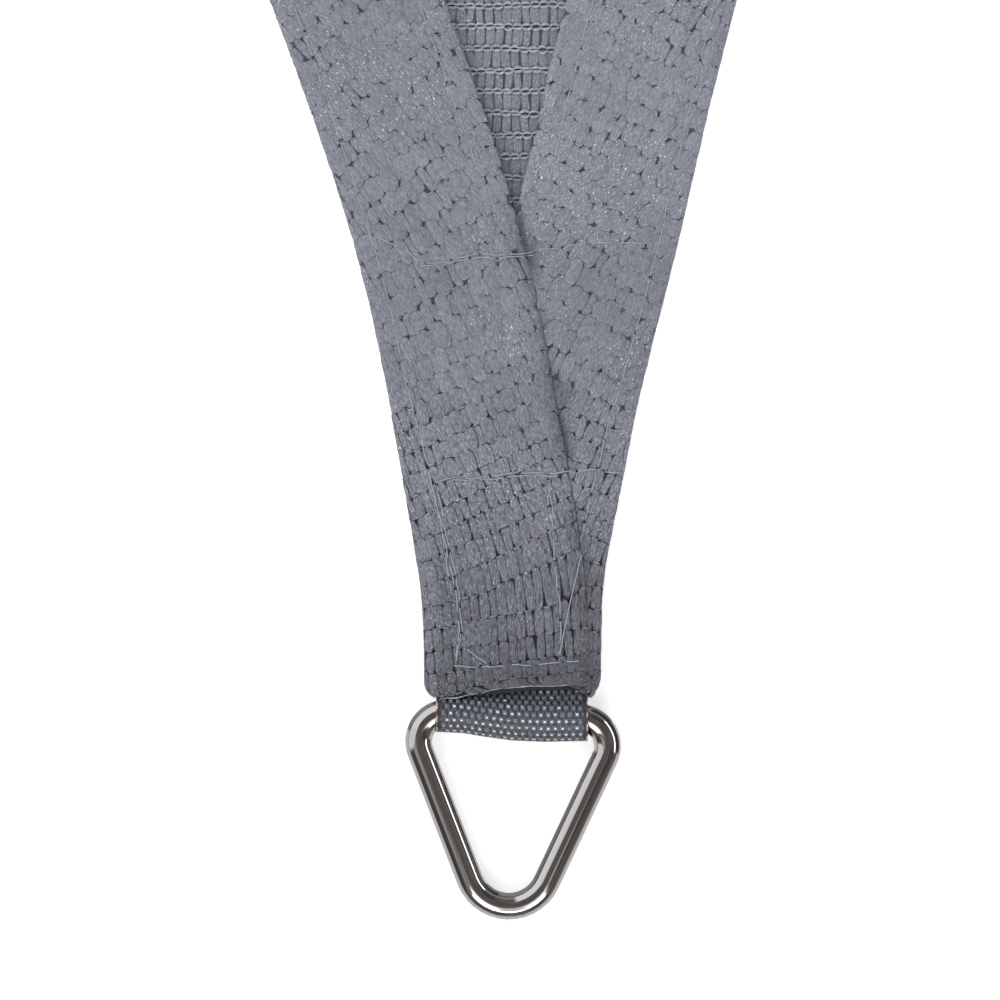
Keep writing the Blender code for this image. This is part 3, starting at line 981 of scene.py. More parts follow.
def chain_lines(rng, row, x):
    """Middle lines, heights and radii of the back face's chains, two strands to a stitch."""
    row, x = np.repeat(row, 2), np.repeat(x, 2)
    half = np.tile([1.0, -1.0], len(row) // 2)[:, None]

    def each(low, high):
        """One draw for each yarn."""
        return rng.uniform(low, high, (len(row), 1))

    f = np.linspace(0, 1, CHAIN["steps"])[None, :]
    arch = np.sin(pi * f)
    straight = x[:, None] + f * COURSE
    px = straight + each(*CHAIN["wander"]) * arch
    bow = CHAIN["knot"] + each(*CHAIN["bow"]) * arch ** CHAIN["bow_power"]
    py = row_height(row[:, None], straight) + half * bow
    py = py + each(*CHAIN["tilt"]) * (CHAIN["tilt_ends"] + arch)
    height = CHAIN["height"] + CHAIN["cross"] * half * np.cos(pi * f) + each(*CHAIN["uneven"])
    ends, *gain = CHAIN["thick"]
    return px, py, height, CHAIN["radius"] * (ends + each(*gain) * arch)


def bar_lines(ground, rng, row, column, x):
    """Middle lines, heights and radii of the bars over the front tapes' ends."""
    loose = ease(laid_height(ground, x, row_height(row, x)), *LOOSE_FROM)
    share, loss = BAR["share"]
    shown = rng.random(len(row)) < share - loss * loose
    row, column, x, loose = row[shown], column[shown], x[shown], loose[shown]
    aside = rng.uniform(-BAR["wander"], BAR["wander"], len(row))
    aside = aside + BAR["follow"] * bows(ground, row, column, x + COURSE / 2)
    f = np.linspace(0, 1, BAR["steps"])[None, :]
    arch = np.sin(pi * f)
    px = x[:, None] + f * COURSE
    py = row_height(row[:, None], px) + aside[:, None] * arch
    rise = rng.uniform(*BAR["arch"], (len(row), 1))
    height = BAR["depth"] + rise * arch ** BAR["arch_power"]
    radius = BAR["radius"] * (0.5 + 0.5 * arch**0.5) * (1 - BAR["thin"] * loose[:, None])
    return px, py, height, radius


def strands(ground, rng):
    """The rows' own yarns: short bars over the tapes' ends, or two strands of a chain.

    Returns what tapes returns.
    """
    row, column = cells(ground)
    x = column * COURSE + row_shift(row)
    kept = ground.covers(np.stack([x + COURSE / 2, row_height(row, x)], axis=1))
    row, column, x = row[kept], column[kept], x[kept]
    if ground.face == "back":
        px, py, height, radius = chain_lines(rng, row, x)
        sides, flat = CHAIN["sides"], CHAIN["flat"]
    else:
        px, py, height, radius = bar_lines(ground, rng, row, column, x)
        sides, flat = BAR["sides"], 1.0
    count, steps = px.shape
    angle = np.arange(sides) * 2 * pi / sides
    ring_y = py[..., None] + radius[..., None] * np.cos(angle)
    ring_h = height[..., None] + radius[..., None] * flat * np.sin(angle)
    ring_x = np.broadcast_to(px[..., None], ring_y.shape)
    pattern = np.stack([ring_x, ring_y], axis=-1).reshape(-1, 2)
    points = ground.lay(pattern, ring_h.ravel() * (1 - PRESS * pressed(ground, pattern)))
    faces = repeated(loft_faces(steps, sides), count, steps * sides)
    tint = np.repeat(rng.uniform(-1, 1, count), steps * sides)
    return points, faces, pattern, tint, np.full((len(points), 2), NO_BORDER)


def make_knit(name, ground, seed):
    """The yarns on one ground, as one piece with two finishes."""
    rng = np.random.default_rng(seed)
    wide, fine = tapes(ground, rng), strands(ground, rng)
    points, run, tint, border = [np.concatenate([wide[i], fine[i]]) for i in (0, 2, 3, 4)]
    start = len(wide[0])
    faces = wide[1] + [tuple(v + start for v in face) for face in fine[1]]
    piece = outward(new_piece(name, points, faces))
    smooth(piece, KNIT_SHARP)
    paint_uv(piece, "yarn", run)
    paint_uv(piece, "border", border)
    paint_value(piece, "tint", tint)
    height = to_corner(ground.corner, points[:, :2])[:, 1]
    # Painted shade low on the ground and beside the hems, times the hems' painted sheen or the
    # body's own tones
    tone = ground.low_shade_tone + (1 - ground.low_shade_tone) * ease(height, *ground.low_shade_span)
    tone = tone * ground.shade(points[:, :2])
    tone *= np.where(np.arange(len(points)) < start, *ground.tones)
    paint_value(piece, "tone", tone)
    paint_value(piece, "creased", np.interp(height, *ground.crumple))
    empty_slots(piece, 2)
    slots = (np.arange(len(faces)) >= len(wide[1])).astype(int)
    piece.data.polygons.foreach_set("material_index", slots)
    return piece


# ---------------------------------------------------------------- the sewing

# Distance of each hem's two seams from its fold and from its inner edge
SEAM_HEIGHT = [0.0, 19.0, 43.0, 60.0, 92.0, 134.0]
SEAM_OUTER = [6.3, 6.0, 5.3, 3.9, 3.3, 3.8]
SEAM_INNER = 4.3
SEAM_LOW = {"outer": 19.0, "inner": 96.0}  # where the seams end above the mouth

# Lines of sewing across a corner, in its own frame
SEWING = {
    "cross": [(-27.4, 91.8), (-22.4, 89.4), (-17.8, 86.2), (-12.2, 86.8), (-7.0, 88.0),
              (0.0, 88.0), (4.8, 88.2), (5.8, 89.0), (10.2, 89.2), (11.4, 90.0), (17.6, 90.2),
              (23.8, 90.6), (26.8, 89.8)],
    "cross_again": [(-17.8, 85.8), (-12.2, 86.2), (-7.0, 87.3), (0.0, 87.4), (4.6, 87.7)],
    "box_top": [(-15.9, 40.6), (-15.6, 42.0), (-13.4, 43.2), (-8.4, 43.4), (-2.4, 44.0),
                (3.6, 44.4), (11.6, 44.6), (17.6, 45.0), (21.6, 44.4)],
    "box_top_again": [(-12.6, 42.8), (-8.4, 42.9), (-2.4, 43.5), (3.6, 43.8), (11.2, 44.0)],
    "box_left": [(-15.6, 41.6), (-14.4, 35.4), (-12.6, 27.4), (-11.1, 20.4), (-10.2, 13.4),
                 (-11.0, 6.6)],
    "box_left_again": [(-14.9, 42.0), (-13.7, 35.0), (-11.9, 27.0), (-10.4, 19.8), (-9.7, 13.0),
                       (-11.2, 7.2)],
    "box_bottom": [(-11.6, 6.1), (-6.6, 5.8), (-3.8, 5.3), (0.6, 5.6), (5.4, 5.8), (8.2, 6.3),
                   (12.2, 6.3), (13.9, 6.6)],
    "box_right": [(6.4, 41.0), (7.0, 39.4), (7.6, 36.2), (8.2, 33.8), (8.3, 27.4), (9.6, 19.0),
                  (10.0, 12.0), (9.4, 8.0)],
}

# Threads that lie loose on the cloth
LOOSE = (
    [(13.8, 28.6), (12.7, 23.4), (11.0, 15.0), (9.6, 7.8)],
    [(-8.9, 9.6), (-6.8, 7.8), (-4.4, 6.0)],
    [(7.2, 41.6), (7.9, 38.0), (8.6, 34.0)],
)
THREAD = 0.115  # radius
THREAD_SIDES = 6  # of its section across a corner
SEAM_SIDES = 4  # and along a hem
THREAD_LOW = 0.04  # how far its middle lies below the yarns' tops
STITCH = 5.6
STITCH_SHIFT = 1.9  # along the thread, from one line of sewing to the next
SINK = 0.6  # how deep the thread goes where it passes through the cloth
SINK_REACH = 0.9  # and over what length
SEAM_STEP = 1.1  # spacing of a seam's sections
SEAM_SKIP = 8  # one in so many points of a seam counts where it presses on yarns
FOLD_WAY = 0.6  # extra way to the outer seam, round the fold
SEWING_STEP, LOOSE_STEP = 0.5, 0.6  # spacing of the sections of threads across a corner
LOOSE_LOW, LOOSE_RISE, LOOSE_END = 0.3, 0.34, 1.5  # depth of their ends, rise, and reach of it
SEWING_SWAY = ((0.16, 2.1), (0.09, 0.85))  # size and length of a thread's waves
SEAM_SWAY = ((0.12, 7.1), (0.08, 2.3))
SWAY_ALONG = 0.4  # share of the sway that goes along the thread

# The needle's holes
HOLE_SIZES = (0.16, 0.34)  # least and most radius
HOLE_NARROW = 0.6  # their width as a share of their length
HOLE_SPAN = (-0.1, 0.19)  # heights of their foot and top on the cloth
HOLE_STRAY = 0.3  # how far they stray from the needle's place
HOLE_SIDES = 6

# The melted raw edge: radius by the way round the hem, points, and the rest in mm
RAW_EDGE = ([0.0, 6.0, 14.0, 33.0], [0.12, 0.11, 0.09, 0.05])
RAW_POINTS = 70
RAW_SPAN = (0.4, 0.3)  # distance of its ends from the hem's
RAW_UNEVEN = 0.9  # unevenness of its height, and share of unevenness of its radius
RAW_LEAST = 0.03  # least radius
RAW_HIGH = 0.3  # height of its middle, as a share of the yarns' relief
RAW_OUT = 0.05  # how far it stands out of the mouth
SOFTEN = 5  # a path of sewing is softened over this many points to either side
FINER = 4  # and read this many times as finely


def seam_way(side, t, seam):
    """The way round the hem at which a seam lies."""
    height = side.at(side.local, t)[..., 1]
    if seam == "outer":
        return np.interp(height, SEAM_HEIGHT, SEAM_OUTER) + FOLD_WAY
    return hem_span(side, t) - SEAM_INNER


def seam_places(side, seam):
    """Places along a side at which a seam runs."""
    height = side.local[:, 1]
    return np.flatnonzero(height > SEAM_LOW[seam]).astype(float)


def corner_seam(side, corner, seam):
    """Places of a seam in the half of a side that is nearer to a corner."""
    t = seam_places(side, seam)
    return t[t < CORNER_REACH / LINE_STEP] if corner == side.first else t[t > side.count / 2]


def seam_in_corner(side, corner, seam, t):
    """A seam's places in a corner's frame, as far up as the yarns are laid."""
    local = to_corner(corner, hem_point(side, t, seam_way(side, t, seam))[:, :2])
    return local[local[:, 1] < CORNER_REACH]


def passes(arc, index):
    """Which steps of a line of sewing the needle goes through the cloth in."""
    return np.diff(np.floor((arc + thread_phase(index)) / STITCH)) > 0


def thread_phase(index):
    """Each line of sewing starts its stitches at a place of its own."""
    return (STITCH_SHIFT * index) % STITCH


def sway(arc, waves, start):
    """Sideways waves of a thread, the first of which starts anywhere."""
    (size, length), (fine_size, fine_length) = waves
    return size * np.sin(arc / length + start) + fine_size * np.sin(arc / fine_length)


def softened(rng, size, count, width):
    """Random numbers up to a size, each averaged over its neighbours."""
    return np.convolve(rng.uniform(-size, size, count + width - 1), np.ones(width) / width, "valid")


def needle_places(corner, sides):
    """Where the sewing goes through a corner's hems, in the corner's frame."""
    places = []
    for index, path in enumerate(SEWING.values()):
        line, arc = even_path(path, SEWING_STEP)
        places.append(line[1:][passes(arc, index)])
    for side in sides:
        for index, seam in enumerate(("outer", "inner")):
            t = corner_seam(side, corner, seam)
            t = t[1:][passes(t * LINE_STEP, index)]
            places.append(seam_in_corner(side, corner, seam, t))
    return np.concatenate(places)


@cache
def sewn_lines(side, corner):
    """The lines of sewing of a corner's hem, in the corner's frame."""
    lines = [np.array(line) for line in SEWING.values()]
    for seam in ("outer", "inner"):
        t = corner_seam(side, corner, seam)[::SEAM_SKIP]
        lines.append(seam_in_corner(side, corner, seam, t))
    return lines


def on_cloth(left, right, corner, places, height):
    """Points over the cloth at places of a corner: on the upper hem, else on the lower."""
    plan = to_plan(corner, places[:, 0], places[:, 1])
    half_fold = (pi / 2 - 1) * (PANEL + LAYER - RELIEF) / 2
    layers, outs = [], []
    for side, head in ((left, True), (right, False)):
        t, out = side.foot(plan, head)
        t = np.clip(t, 0.0, side.last_place)
        layers.append(raised(side, t, half_fold - out, height))
        outs.append(out)
    covered = -outs[0] < HEM
    return np.where(covered[:, None], *layers)


def even_path(path, step):
    """A line through given points, smooth and evenly stepped, and the way along it."""
    path = np.asarray(path, float)
    arc = np.concatenate([[0], np.cumsum(np.linalg.norm(np.diff(path, axis=0), axis=1))])
    count = max(int(arc[-1] / step), 4)
    fine = np.linspace(0, arc[-1], count * FINER)
    read = np.stack([np.interp(fine, arc, column) for column in path.T], axis=1)
    padded = np.pad(read, ((SOFTEN, SOFTEN), (0, 0)), mode="reflect", reflect_type="odd")
    kernel = np.hanning(2 * SOFTEN + 3)[1:-1]
    kernel /= kernel.sum()
    soft = np.stack([np.convolve(c, kernel, mode="valid") for c in padded.T], axis=1)
    return soft[::FINER], fine[::FINER]


def thread_height(arc, phase):
    """Height of a thread on the yarns, sinking where it passes through the cloth."""
    gap = np.abs((arc + phase + STITCH / 2) % STITCH - STITCH / 2)
    return RELIEF - THREAD_LOW - SINK * np.exp(-((gap / SINK_REACH) ** 2))


def tube(points, radius, sides):
    """Rings of points round a line, in the plane across it."""
    way = unit(np.gradient(points, axis=0))
    across = unit(np.cross(way, np.array([0.0, 0.0, 1.0])))
    over = np.cross(across, way)
    angle = np.arange(sides) * 2 * pi / sides
    ring = across[:, None] * np.cos(angle)[None, :, None]
    ring = ring + over[:, None] * np.sin(angle)[None, :, None]
    ring = ring * np.reshape(radius, (-1, 1, 1))
    return (points[:, None] + ring).reshape(-1, 3), loft_faces(len(points), sides)


def join_tubes(name, lines, radius, sides):
    """Tubes along several lines, as one piece."""
    points, faces, start = [], [], 0
    for line in lines:
        ring, shape = tube(line, radius, sides)
        points.append(ring)
        faces += [tuple(v + start for v in face) for face in shape]
        start += len(ring)
    piece = outward(new_piece(name, np.concatenate(points), faces))
    piece.data.shade_smooth()
    return piece


def make_sewing(corner, left, right):
    """Threads across a corner: the cross line, the box over the webbing and loose ends."""
    rng = np.random.default_rng(SEEDS["sewing"] + corner)
    lines = []
    for index, path in enumerate(SEWING.values()):
        places, arc = even_path(path, SEWING_STEP)
        aside = sway(arc, SEWING_SWAY, rng.uniform(0, 6))
        places = places + np.stack([SWAY_ALONG * aside, aside], axis=1)
        height = thread_height(arc, thread_phase(index))
        lines.append(on_cloth(left, right, corner, places, height))
    for path in LOOSE:
        places, arc = even_path(path, LOOSE_STEP)
        from_end = np.minimum(arc, arc[-1] - arc)
        height = RELIEF - LOOSE_LOW + LOOSE_RISE * ease(from_end, 0.0, LOOSE_END)
        lines.append(on_cloth(left, right, corner, places, height))
    for line in lines:
        line[1:-1, 2] = (line[:-2, 2] + 2 * line[1:-1, 2] + line[2:, 2]) / 4
    return join_tubes(f"sewing_{CORNERS[corner]}", lines, THREAD, THREAD_SIDES)


def make_holes(corner, left, right):
    """The small holes where the sewing goes through the cloth, two at each place, as dark discs of
    painted shade.
    """
    rng = np.random.default_rng(SEEDS["holes"] + corner)
    places = np.repeat(needle_places(corner, (left, right)), 2, axis=0)
    places = places + rng.uniform(-HOLE_STRAY, HOLE_STRAY, places.shape)
    count = len(places)
    angle = np.arange(HOLE_SIDES) * 2 * pi / HOLE_SIDES + rng.uniform(0, 2 * pi, (count, 1))
    size = rng.uniform(*HOLE_SIZES, (count, 1))
    ring = np.stack([HOLE_NARROW * size * np.cos(angle), size * np.sin(angle)], axis=-1)
    ring = ring + places[:, None]
    rings = np.stack([ring, ring], axis=1).reshape(-1, 2)
    height = np.array(HOLE_SPAN)[None, :, None]
    height = np.broadcast_to(height, (count, 2, HOLE_SIDES)).ravel()
    points = on_cloth(left, right, corner, rings, height)
    faces = repeated(loft_faces(2, HOLE_SIDES), count, 2 * HOLE_SIDES)
    return outward(new_piece(f"needle_holes_{CORNERS[corner]}", points, faces))


def make_seams(side, name):
    """The two seams of a hem, all the way from one corner to the next."""
    rng = np.random.default_rng(SEEDS["seams"] + side.first)
    lines = []
    for index, seam in enumerate(("outer", "inner")):
        places = seam_places(side, seam)
        t = np.arange(places[0], places[-1], SEAM_STEP / LINE_STEP)
        arc = t * LINE_STEP
        way = seam_way(side, t, seam) + sway(arc, SEAM_SWAY, rng.uniform(0, 6))
        lines.append(raised(side, t, way, thread_height(arc, thread_phase(index))))
    return join_tubes(name, lines, THREAD, SEAM_SIDES)


def make_raw_edge(corner, side):
    """The pale melted edge of the upper hem at the mouth."""
    rng = np.random.default_rng(SEEDS["raw_edge"] + corner)
    first, last = RAW_SPAN
    way = np.linspace(first, hem_span(side, np.zeros(1))[0] - last, RAW_POINTS)
    height = RELIEF * RAW_HIGH + softened(rng, RAW_UNEVEN, RAW_POINTS, 5)
    line = raised(side, np.zeros(RAW_POINTS), way, height)
    line[:, :2] = line[:, :2] - corner_frame(corner)[2] * RAW_OUT
    thick = np.interp(way, *RAW_EDGE) * (1 + softened(rng, RAW_UNEVEN, RAW_POINTS, 3))
    return join_tubes(f"raw_edge_{CORNERS[corner]}", [line], np.maximum(thick, RAW_LEAST), 6)


# ---------------------------------------------------------------- the webbing

WARP = 0.715  # spacing of the webbing's yarns across it
WEFT = 1.28  # and of its rows along it
YARN_RISE = 0.16  # how far a yarn's top stands out
WARP_STEPS = 3  # points across each yarn
WEFT_STEPS = 4  # and along each row
LOOP_PLACES = [-15.0, -9.6, -5.8, 0.0, 6.2, 15.0]  # places across the strap
LOOP_SLACK = [0.0, 0.05, 0.6, 1.2, 1.25, 0.75]  # and the loop's spare room past the bar there
CUT_EDGE = 14.3  # past this, the melted edge of the webbing
LOOP_ROUND = 0.5  # rounding of the loop's line
LOOP_POINTS = 1200  # points at which the loop's line is first read
LOOP_SOFT = 12  # of those, to either side, that it is softened over
WOVEN = 15.5  # half of the length that is woven
WOVEN_FULL = 14.0  # half of the length where the weave has its full height
BURIED_STEPS = 14  # sections of each plain end
STRAP_SHARP = 60.0  # angle past which an edge of the strap shows, in degrees
WEFT_SHIFT = 0.05  # of the rows of the weave, from corner to corner
YARN_FLAT = 0.7  # power that flattens the yarns' tops
NOT_LOW = 9.0  # value of the strap's hidden face for the light that falls off down the loop

# The loop's line on its way to the bar: height above the mouth and over the upper layer's middle
TO_BAR = ((BURIED, 0.0), (26.0, 0.0), (8.5, 0.0), (5.5, 0.2), (3.0, 0.75), (1.2, 1.35))

# Round the bar: first and last angle, steps, and whether the loop hangs slack there
ROUND_BAR = ((26, 90, 9, 0), (90, 270, 25, 1), (270, 296, 5, 0))

# And back: height above the mouth and over the lower layer's middle, and share of the bar's turn
FROM_BAR = ((-1.1, -0.45, 0.7), (0.2, 0.0, 0), (8.5, 0.0, 0), (26.0, 0.0, 0), (BURIED, 0.0, 0))

# The melted beads along the strap's edges
BEAD_SPAN = (-12.0, 9.0)  # along the loop, from its middle
BEAD_STEP = 0.45
BEAD_INSET = 0.12  # from the strap's edge
BEAD_OUT = 0.22  # from its middle surface
BEAD_UNEVEN = 0.2
BEAD_ASIDE = 0.4  # share of the unevenness that goes sideways
BEAD = 0.16  # radius


def loop_line(slack):
    """Middle line of the webbing in a corner's frame, from its upper end round the bar.

    Rows of height above the mouth and above the surface, then the share in which each follows
    the bar when the ring is turned.
    """
    around = WIRE / 2 + GAP + WEBBING / 2
    bar_z = around + WEBBING / 2
    low = PANEL + GAP + WEBBING / 2
    high = low + WEBBING + GAP
    line = [(y, high + rise, 0) for y, rise in TO_BAR]
    for first, last, steps, loose in ROUND_BAR:
        for angle in np.radians(np.linspace(first, last, steps)):
            y = BAR_HEIGHT - slack * loose + around * cos(angle)
            line.append((y, bar_z + around * sin(angle), 1))
    line += [(y, low + rise, share) for y, rise, share in FROM_BAR]
    return np.array(line)


def even_line(line, places):
    """The line's columns read at shares of its length, with its bends softened, and the length."""
    gaps = np.linalg.norm(np.diff(line[:, :2], axis=0), axis=1)
    arc = np.concatenate([[0], np.cumsum(gaps)])
    length = arc[-1]
    fine = np.linspace(0, length, LOOP_POINTS)
    step = length / (LOOP_POINTS - 1)
    kernel = np.exp(-0.5 * (np.arange(-LOOP_SOFT, LOOP_SOFT + 1) * step / LOOP_ROUND) ** 2)
    kernel /= kernel.sum()
    read = []
    for column in line.T:
        values = np.interp(fine, arc, column)
        padded = np.pad(values, LOOP_SOFT, mode="reflect", reflect_type="odd")
        soft = np.convolve(padded, kernel, mode="valid")
        read.append(np.interp(places * length, fine, soft))
    return read, length


def webbing_lines(across, places):
    """The strap's middle surface in a corner's frame, and its normal."""
    middle, normal = np.zeros((2, len(places), len(across), 3))
    for j, x in enumerate(across):
        slack = np.interp(x, LOOP_PLACES, LOOP_SLACK)
        (along, height, share), _ = even_line(loop_line(slack), places)
        y = along - tan(RING_TURN) * x * share
        middle[:, j] = np.stack([np.full(len(places), x), y, height], axis=1)
        slope = unit(np.gradient(middle[:, j, 1:], axis=0))
        normal[:, j, 1], normal[:, j, 2] = -slope[:, 1], slope[:, 0]
    return middle, normal


def loop_length():
    """Length of the strap where its loop hangs slackest."""
    return even_line(loop_line(max(LOOP_SLACK)), np.array([0.0]))[1]


def to_sail(corner, points):
    """Points in a corner's frame, brought to the sail's."""
    flat = points.reshape(-1, 3)
    return np.concatenate([to_plan(corner, flat[:, 0], flat[:, 1]), flat[:, 2:]], axis=1)


def make_webbing(corner):
    """The doubled strap, woven where it shows and plain where it is buried."""
    columns = int(round(WEBBING_WIDTH / WARP)) * WARP_STEPS + 1
    across = np.linspace(-0.5, 0.5, columns) * WEBBING_WIDTH
    length = loop_length()
    shown = 0.5 + np.arange(-WOVEN, WOVEN, WEFT / WEFT_STEPS) / length
    buried = np.linspace(0.0, shown[0], BURIED_STEPS)[:-1]
    places = np.concatenate([buried, shown, 1.0 - buried[::-1]])
    middle, normal = webbing_lines(across, places)
    warp, weft = np.meshgrid(across / WARP, places * length / WEFT + WEFT_SHIFT * corner)
    weave = np.cos(warp * pi) * np.cos(weft * pi)
    woven = ease(np.abs(places - 0.5) * length, WOVEN, WOVEN_FULL)[:, None]
    yarn = np.sign(weave) * np.abs(weave) ** YARN_FLAT * woven
    half = WEBBING / 2 - YARN_RISE
    front = middle - normal * (half + YARN_RISE * yarn)[..., None]
    back = middle + normal * (half - YARN_RISE * yarn)[..., None]
    points = to_sail(corner, np.concatenate([front, back[:, ::-1]], axis=1))
    faces = loft_faces(len(places), 2 * columns)
    piece = outward(new_piece(f"strap_{CORNERS[corner]}", points, faces))
    smooth(piece, STRAP_SHARP)
    across_map = np.concatenate([warp, warp[:, ::-1]], axis=1)
    along_map = np.concatenate([weft, weft], axis=1)
    paint_uv(piece, "weave", np.stack([across_map, along_map], axis=-1).reshape(-1, 2))
    paint_value(piece, "yarn_top", np.concatenate([yarn, -yarn[:, ::-1]], axis=1).ravel())
    hidden = np.full_like(back[..., 1], NOT_LOW)
    paint_value(piece, "low", -np.concatenate([front[..., 1], hidden], axis=1).ravel())
    return piece


def make_cut_edges(corner):
    """The melted beads along both edges of the strap's loop."""
    places = 0.5 + np.arange(*BEAD_SPAN, BEAD_STEP) / loop_length()
    rng = np.random.default_rng(SEEDS["cut_edges"] + corner)
    edge = WEBBING_WIDTH / 2 - BEAD_INSET
    lines = []
    for x in (-edge, edge):
        middle, normal = webbing_lines(np.array([x]), places)
        wander = softened(rng, BEAD_UNEVEN, len(places), 5)
        line = middle[:, 0] - normal[:, 0] * (BEAD_OUT + wander[:, None])
        line[:, 0] += BEAD_ASIDE * np.roll(wander, 3)
        lines.append(to_sail(corner, line))
    return join_tubes(f"cut_edges_{CORNERS[corner]}", lines, BEAD, 6)


# ---------------------------------------------------------------- the rings

RING_BENDS = 14  # steps in each rounded corner
RING_SIDES = 7  # bevel resolution of the wire
BAR_END = 0.3  # a point this near to an end of the bar is that end


def wire_bend(centre, angle):
    """Carries the end of a line of edges round a bend, clockwise seen from above."""
    place = Vector((*centre, 0.0)) * MM
    bpy.ops.mesh.spin(steps=RING_BENDS, angle=angle, center=place, axis=(0, 0, 1))


def wire_leg(start, end):
    """Carries the end of a line of edges straight on."""
    move = Vector((end[0] - start[0], end[1] - start[1], 0.0)) * MM
    bpy.ops.mesh.extrude_region_move(TRANSFORM_OT_translate={"value": move})


def make_first_ring():
    """The front ring: a line bent round three corners and closed, then given a wire's thickness."""
    gap = hypot(BAR_HALF, APEX_DEPTH - SHOULDER)
    lean = atan2(BAR_HALF, APEX_DEPTH - SHOULDER) - asin((APEX - SHOULDER) / gap)
    slope = np.array([cos(lean), -sin(lean)])
    right, bottom, left = (BAR_HALF, -SHOULDER), (0.0, -APEX_DEPTH), (-BAR_HALF, -SHOULDER)
    mirror = np.array([-1, 1])
    bpy.ops.object.select_all(action="DESELECT")
    bpy.ops.mesh.primitive_plane_add(size=WIRE * MM, location=(BAR_HALF * MM, 0, 0))
    ring = bpy.context.object
    ring.name = "steel_ring_front"
    bpy.ops.object.mode_set(mode="EDIT")
    bpy.ops.mesh.select_mode(type="VERT")
    bpy.ops.mesh.select_all(action="SELECT")
    bpy.ops.mesh.merge(type="CENTER")
    wire_bend(right, pi / 2 + lean)
    wire_leg(right + SHOULDER * slope, bottom + APEX * slope)
    wire_bend(bottom, pi - 2 * lean)
    wire_leg(bottom + APEX * slope * mirror, left + SHOULDER * slope * mirror)
    wire_bend(left, pi / 2 + lean)
    bpy.ops.mesh.select_all(action="DESELECT")
    bpy.ops.object.mode_set(mode="OBJECT")
    bpy.ops.object.transform_apply(location=True)
    for vertex in ring.data.vertices:
        off = hypot(abs(vertex.co.x) - BAR_HALF * MM, vertex.co.y)
        vertex.select = off < BAR_END * MM
    bpy.ops.object.mode_set(mode="EDIT")
    bpy.ops.mesh.edge_face_add()
    bpy.ops.object.mode_set(mode="OBJECT")
    bpy.ops.object.convert(target="CURVE")
    ring.data.bevel_depth = WIRE / 2 * MM
    ring.data.bevel_resolution = RING_SIDES
    bpy.ops.object.convert(target="MESH")
    ring = bpy.context.object
    bar_z = WIRE / 2 + GAP + WEBBING
    tilt = asin((bar_z - WIRE / 2) / (APEX_DEPTH + APEX))
    place = Matrix.Translation(Vector((BAR_SHIFT, BAR_HEIGHT, bar_z)) * MM)
    turned = Matrix.Rotation(-RING_TURN, 4, "Z") @ Matrix.Rotation(tilt, 4, "X")
    ring.data.transform(place @ turned)
    return ring


def make_rings():
    """The three rings: the front one, and copies of it turned to the other corners."""
    first = make_first_ring()
    rings = [first]
    for name in CORNERS[1:]:
        ring = first.copy()
        ring.data = first.data.copy()
        ring.name = f"steel_ring_{name}"
        bpy.context.scene.collection.objects.link(ring)
        rings.append(ring)
    for corner, ring in enumerate(rings):
        ring.data.transform(corner_matrix(corner))
        outward(ring)
        ring.data.shade_smooth()
    return rings


# ---------------------------------------------------------------- finishes

CLOTH = (0.230, 0.243, 0.291)
CLOTH_PALE = (0.335, 0.352, 0.405)  # the fine strands
CLOTH_GAP_SHADE = (0.014, 0.015, 0.021)  # painted shade: the gaps between the yarns, and the needle's holes
CLOTH_LOOSE_GAP_SHADE = (0.07, 0.075, 0.09)  # paler painted shade in the gaps where the cloth lies loose
CUT_ENDS_SHADE = (0.05, 0.055, 0.068)  # painted shade: the hems' ends inside the mouths, dark as the shade there
CLOTH_FAR = (0.16, 0.17, 0.206)  # the cloth with its gaps, seen from afar
MELTED = (0.42, 0.43, 0.46)  # the raw edge at the mouth
THREADS = (0.38, 0.40, 0.46)
STRAP = (0.138, 0.154, 0.184)
STRAP_GAP_SHADE = (0.02, 0.023, 0.032)  # painted shade in the gaps between the webbing's yarns
STRAP_EDGE = (0.62, 0.52, 0.51)  # the melted beads along its edges
STRAP_SCORCHED = (0.05, 0.037, 0.04)  # the webbing beside them
STEEL = (0.46, 0.455, 0.45)
# painted highlight: the glints on the yarns and on the webbing
PAINTED_GLINT = (0.86, 0.88, 0.92)

# Noises along a yarn: scale, detail, and stretch across and along it
STREAKS = (4.6, 3.0, (1.0, 0.22, 1.0))
FLECKS = (4.2, 3.0, (1.0, 0.7, 1.0))
FOLDS = (0.8, 1.0, (1.0, 0.3, 1.0))
VEINS = (1.0, 1.0, (1.0, 0.4, 1.0))
SPOTS = (3.6, 1.0, (1.0, 0.45, 1.0))
GLINTING = (45.0, 1.0)  # noise over the whole cloth, of where its painted glints lie

STREAK_TONES = (0.5, 1.5)  # tones of a yarn's streaks
STREAK_STRENGTH = (0.46, 0.78)  # how strong they are where the cloth lies loose and where creased
OWN_TONE = 0.06  # how far a yarn's own tone goes up or down
CREASING = (0.25, 0.75)  # values of the painted creasing that count as loose and as creased
BUMP = 0.00008  # relief of the streaks, in metres

# Painted shade lines round a tape: their reach, and their darkness where loose and where creased
SIDE_LINE = (0.22, (0.26, 0.72))
END_LINE = (0.24, (0.28, 0.5))
CORNER_LINE = (0.46, (0.5, 0.72))
LINE_CORE = 0.06  # up to this distance a line is fully dark
LINE_WOBBLE = 0.5  # how far flecks move the lines

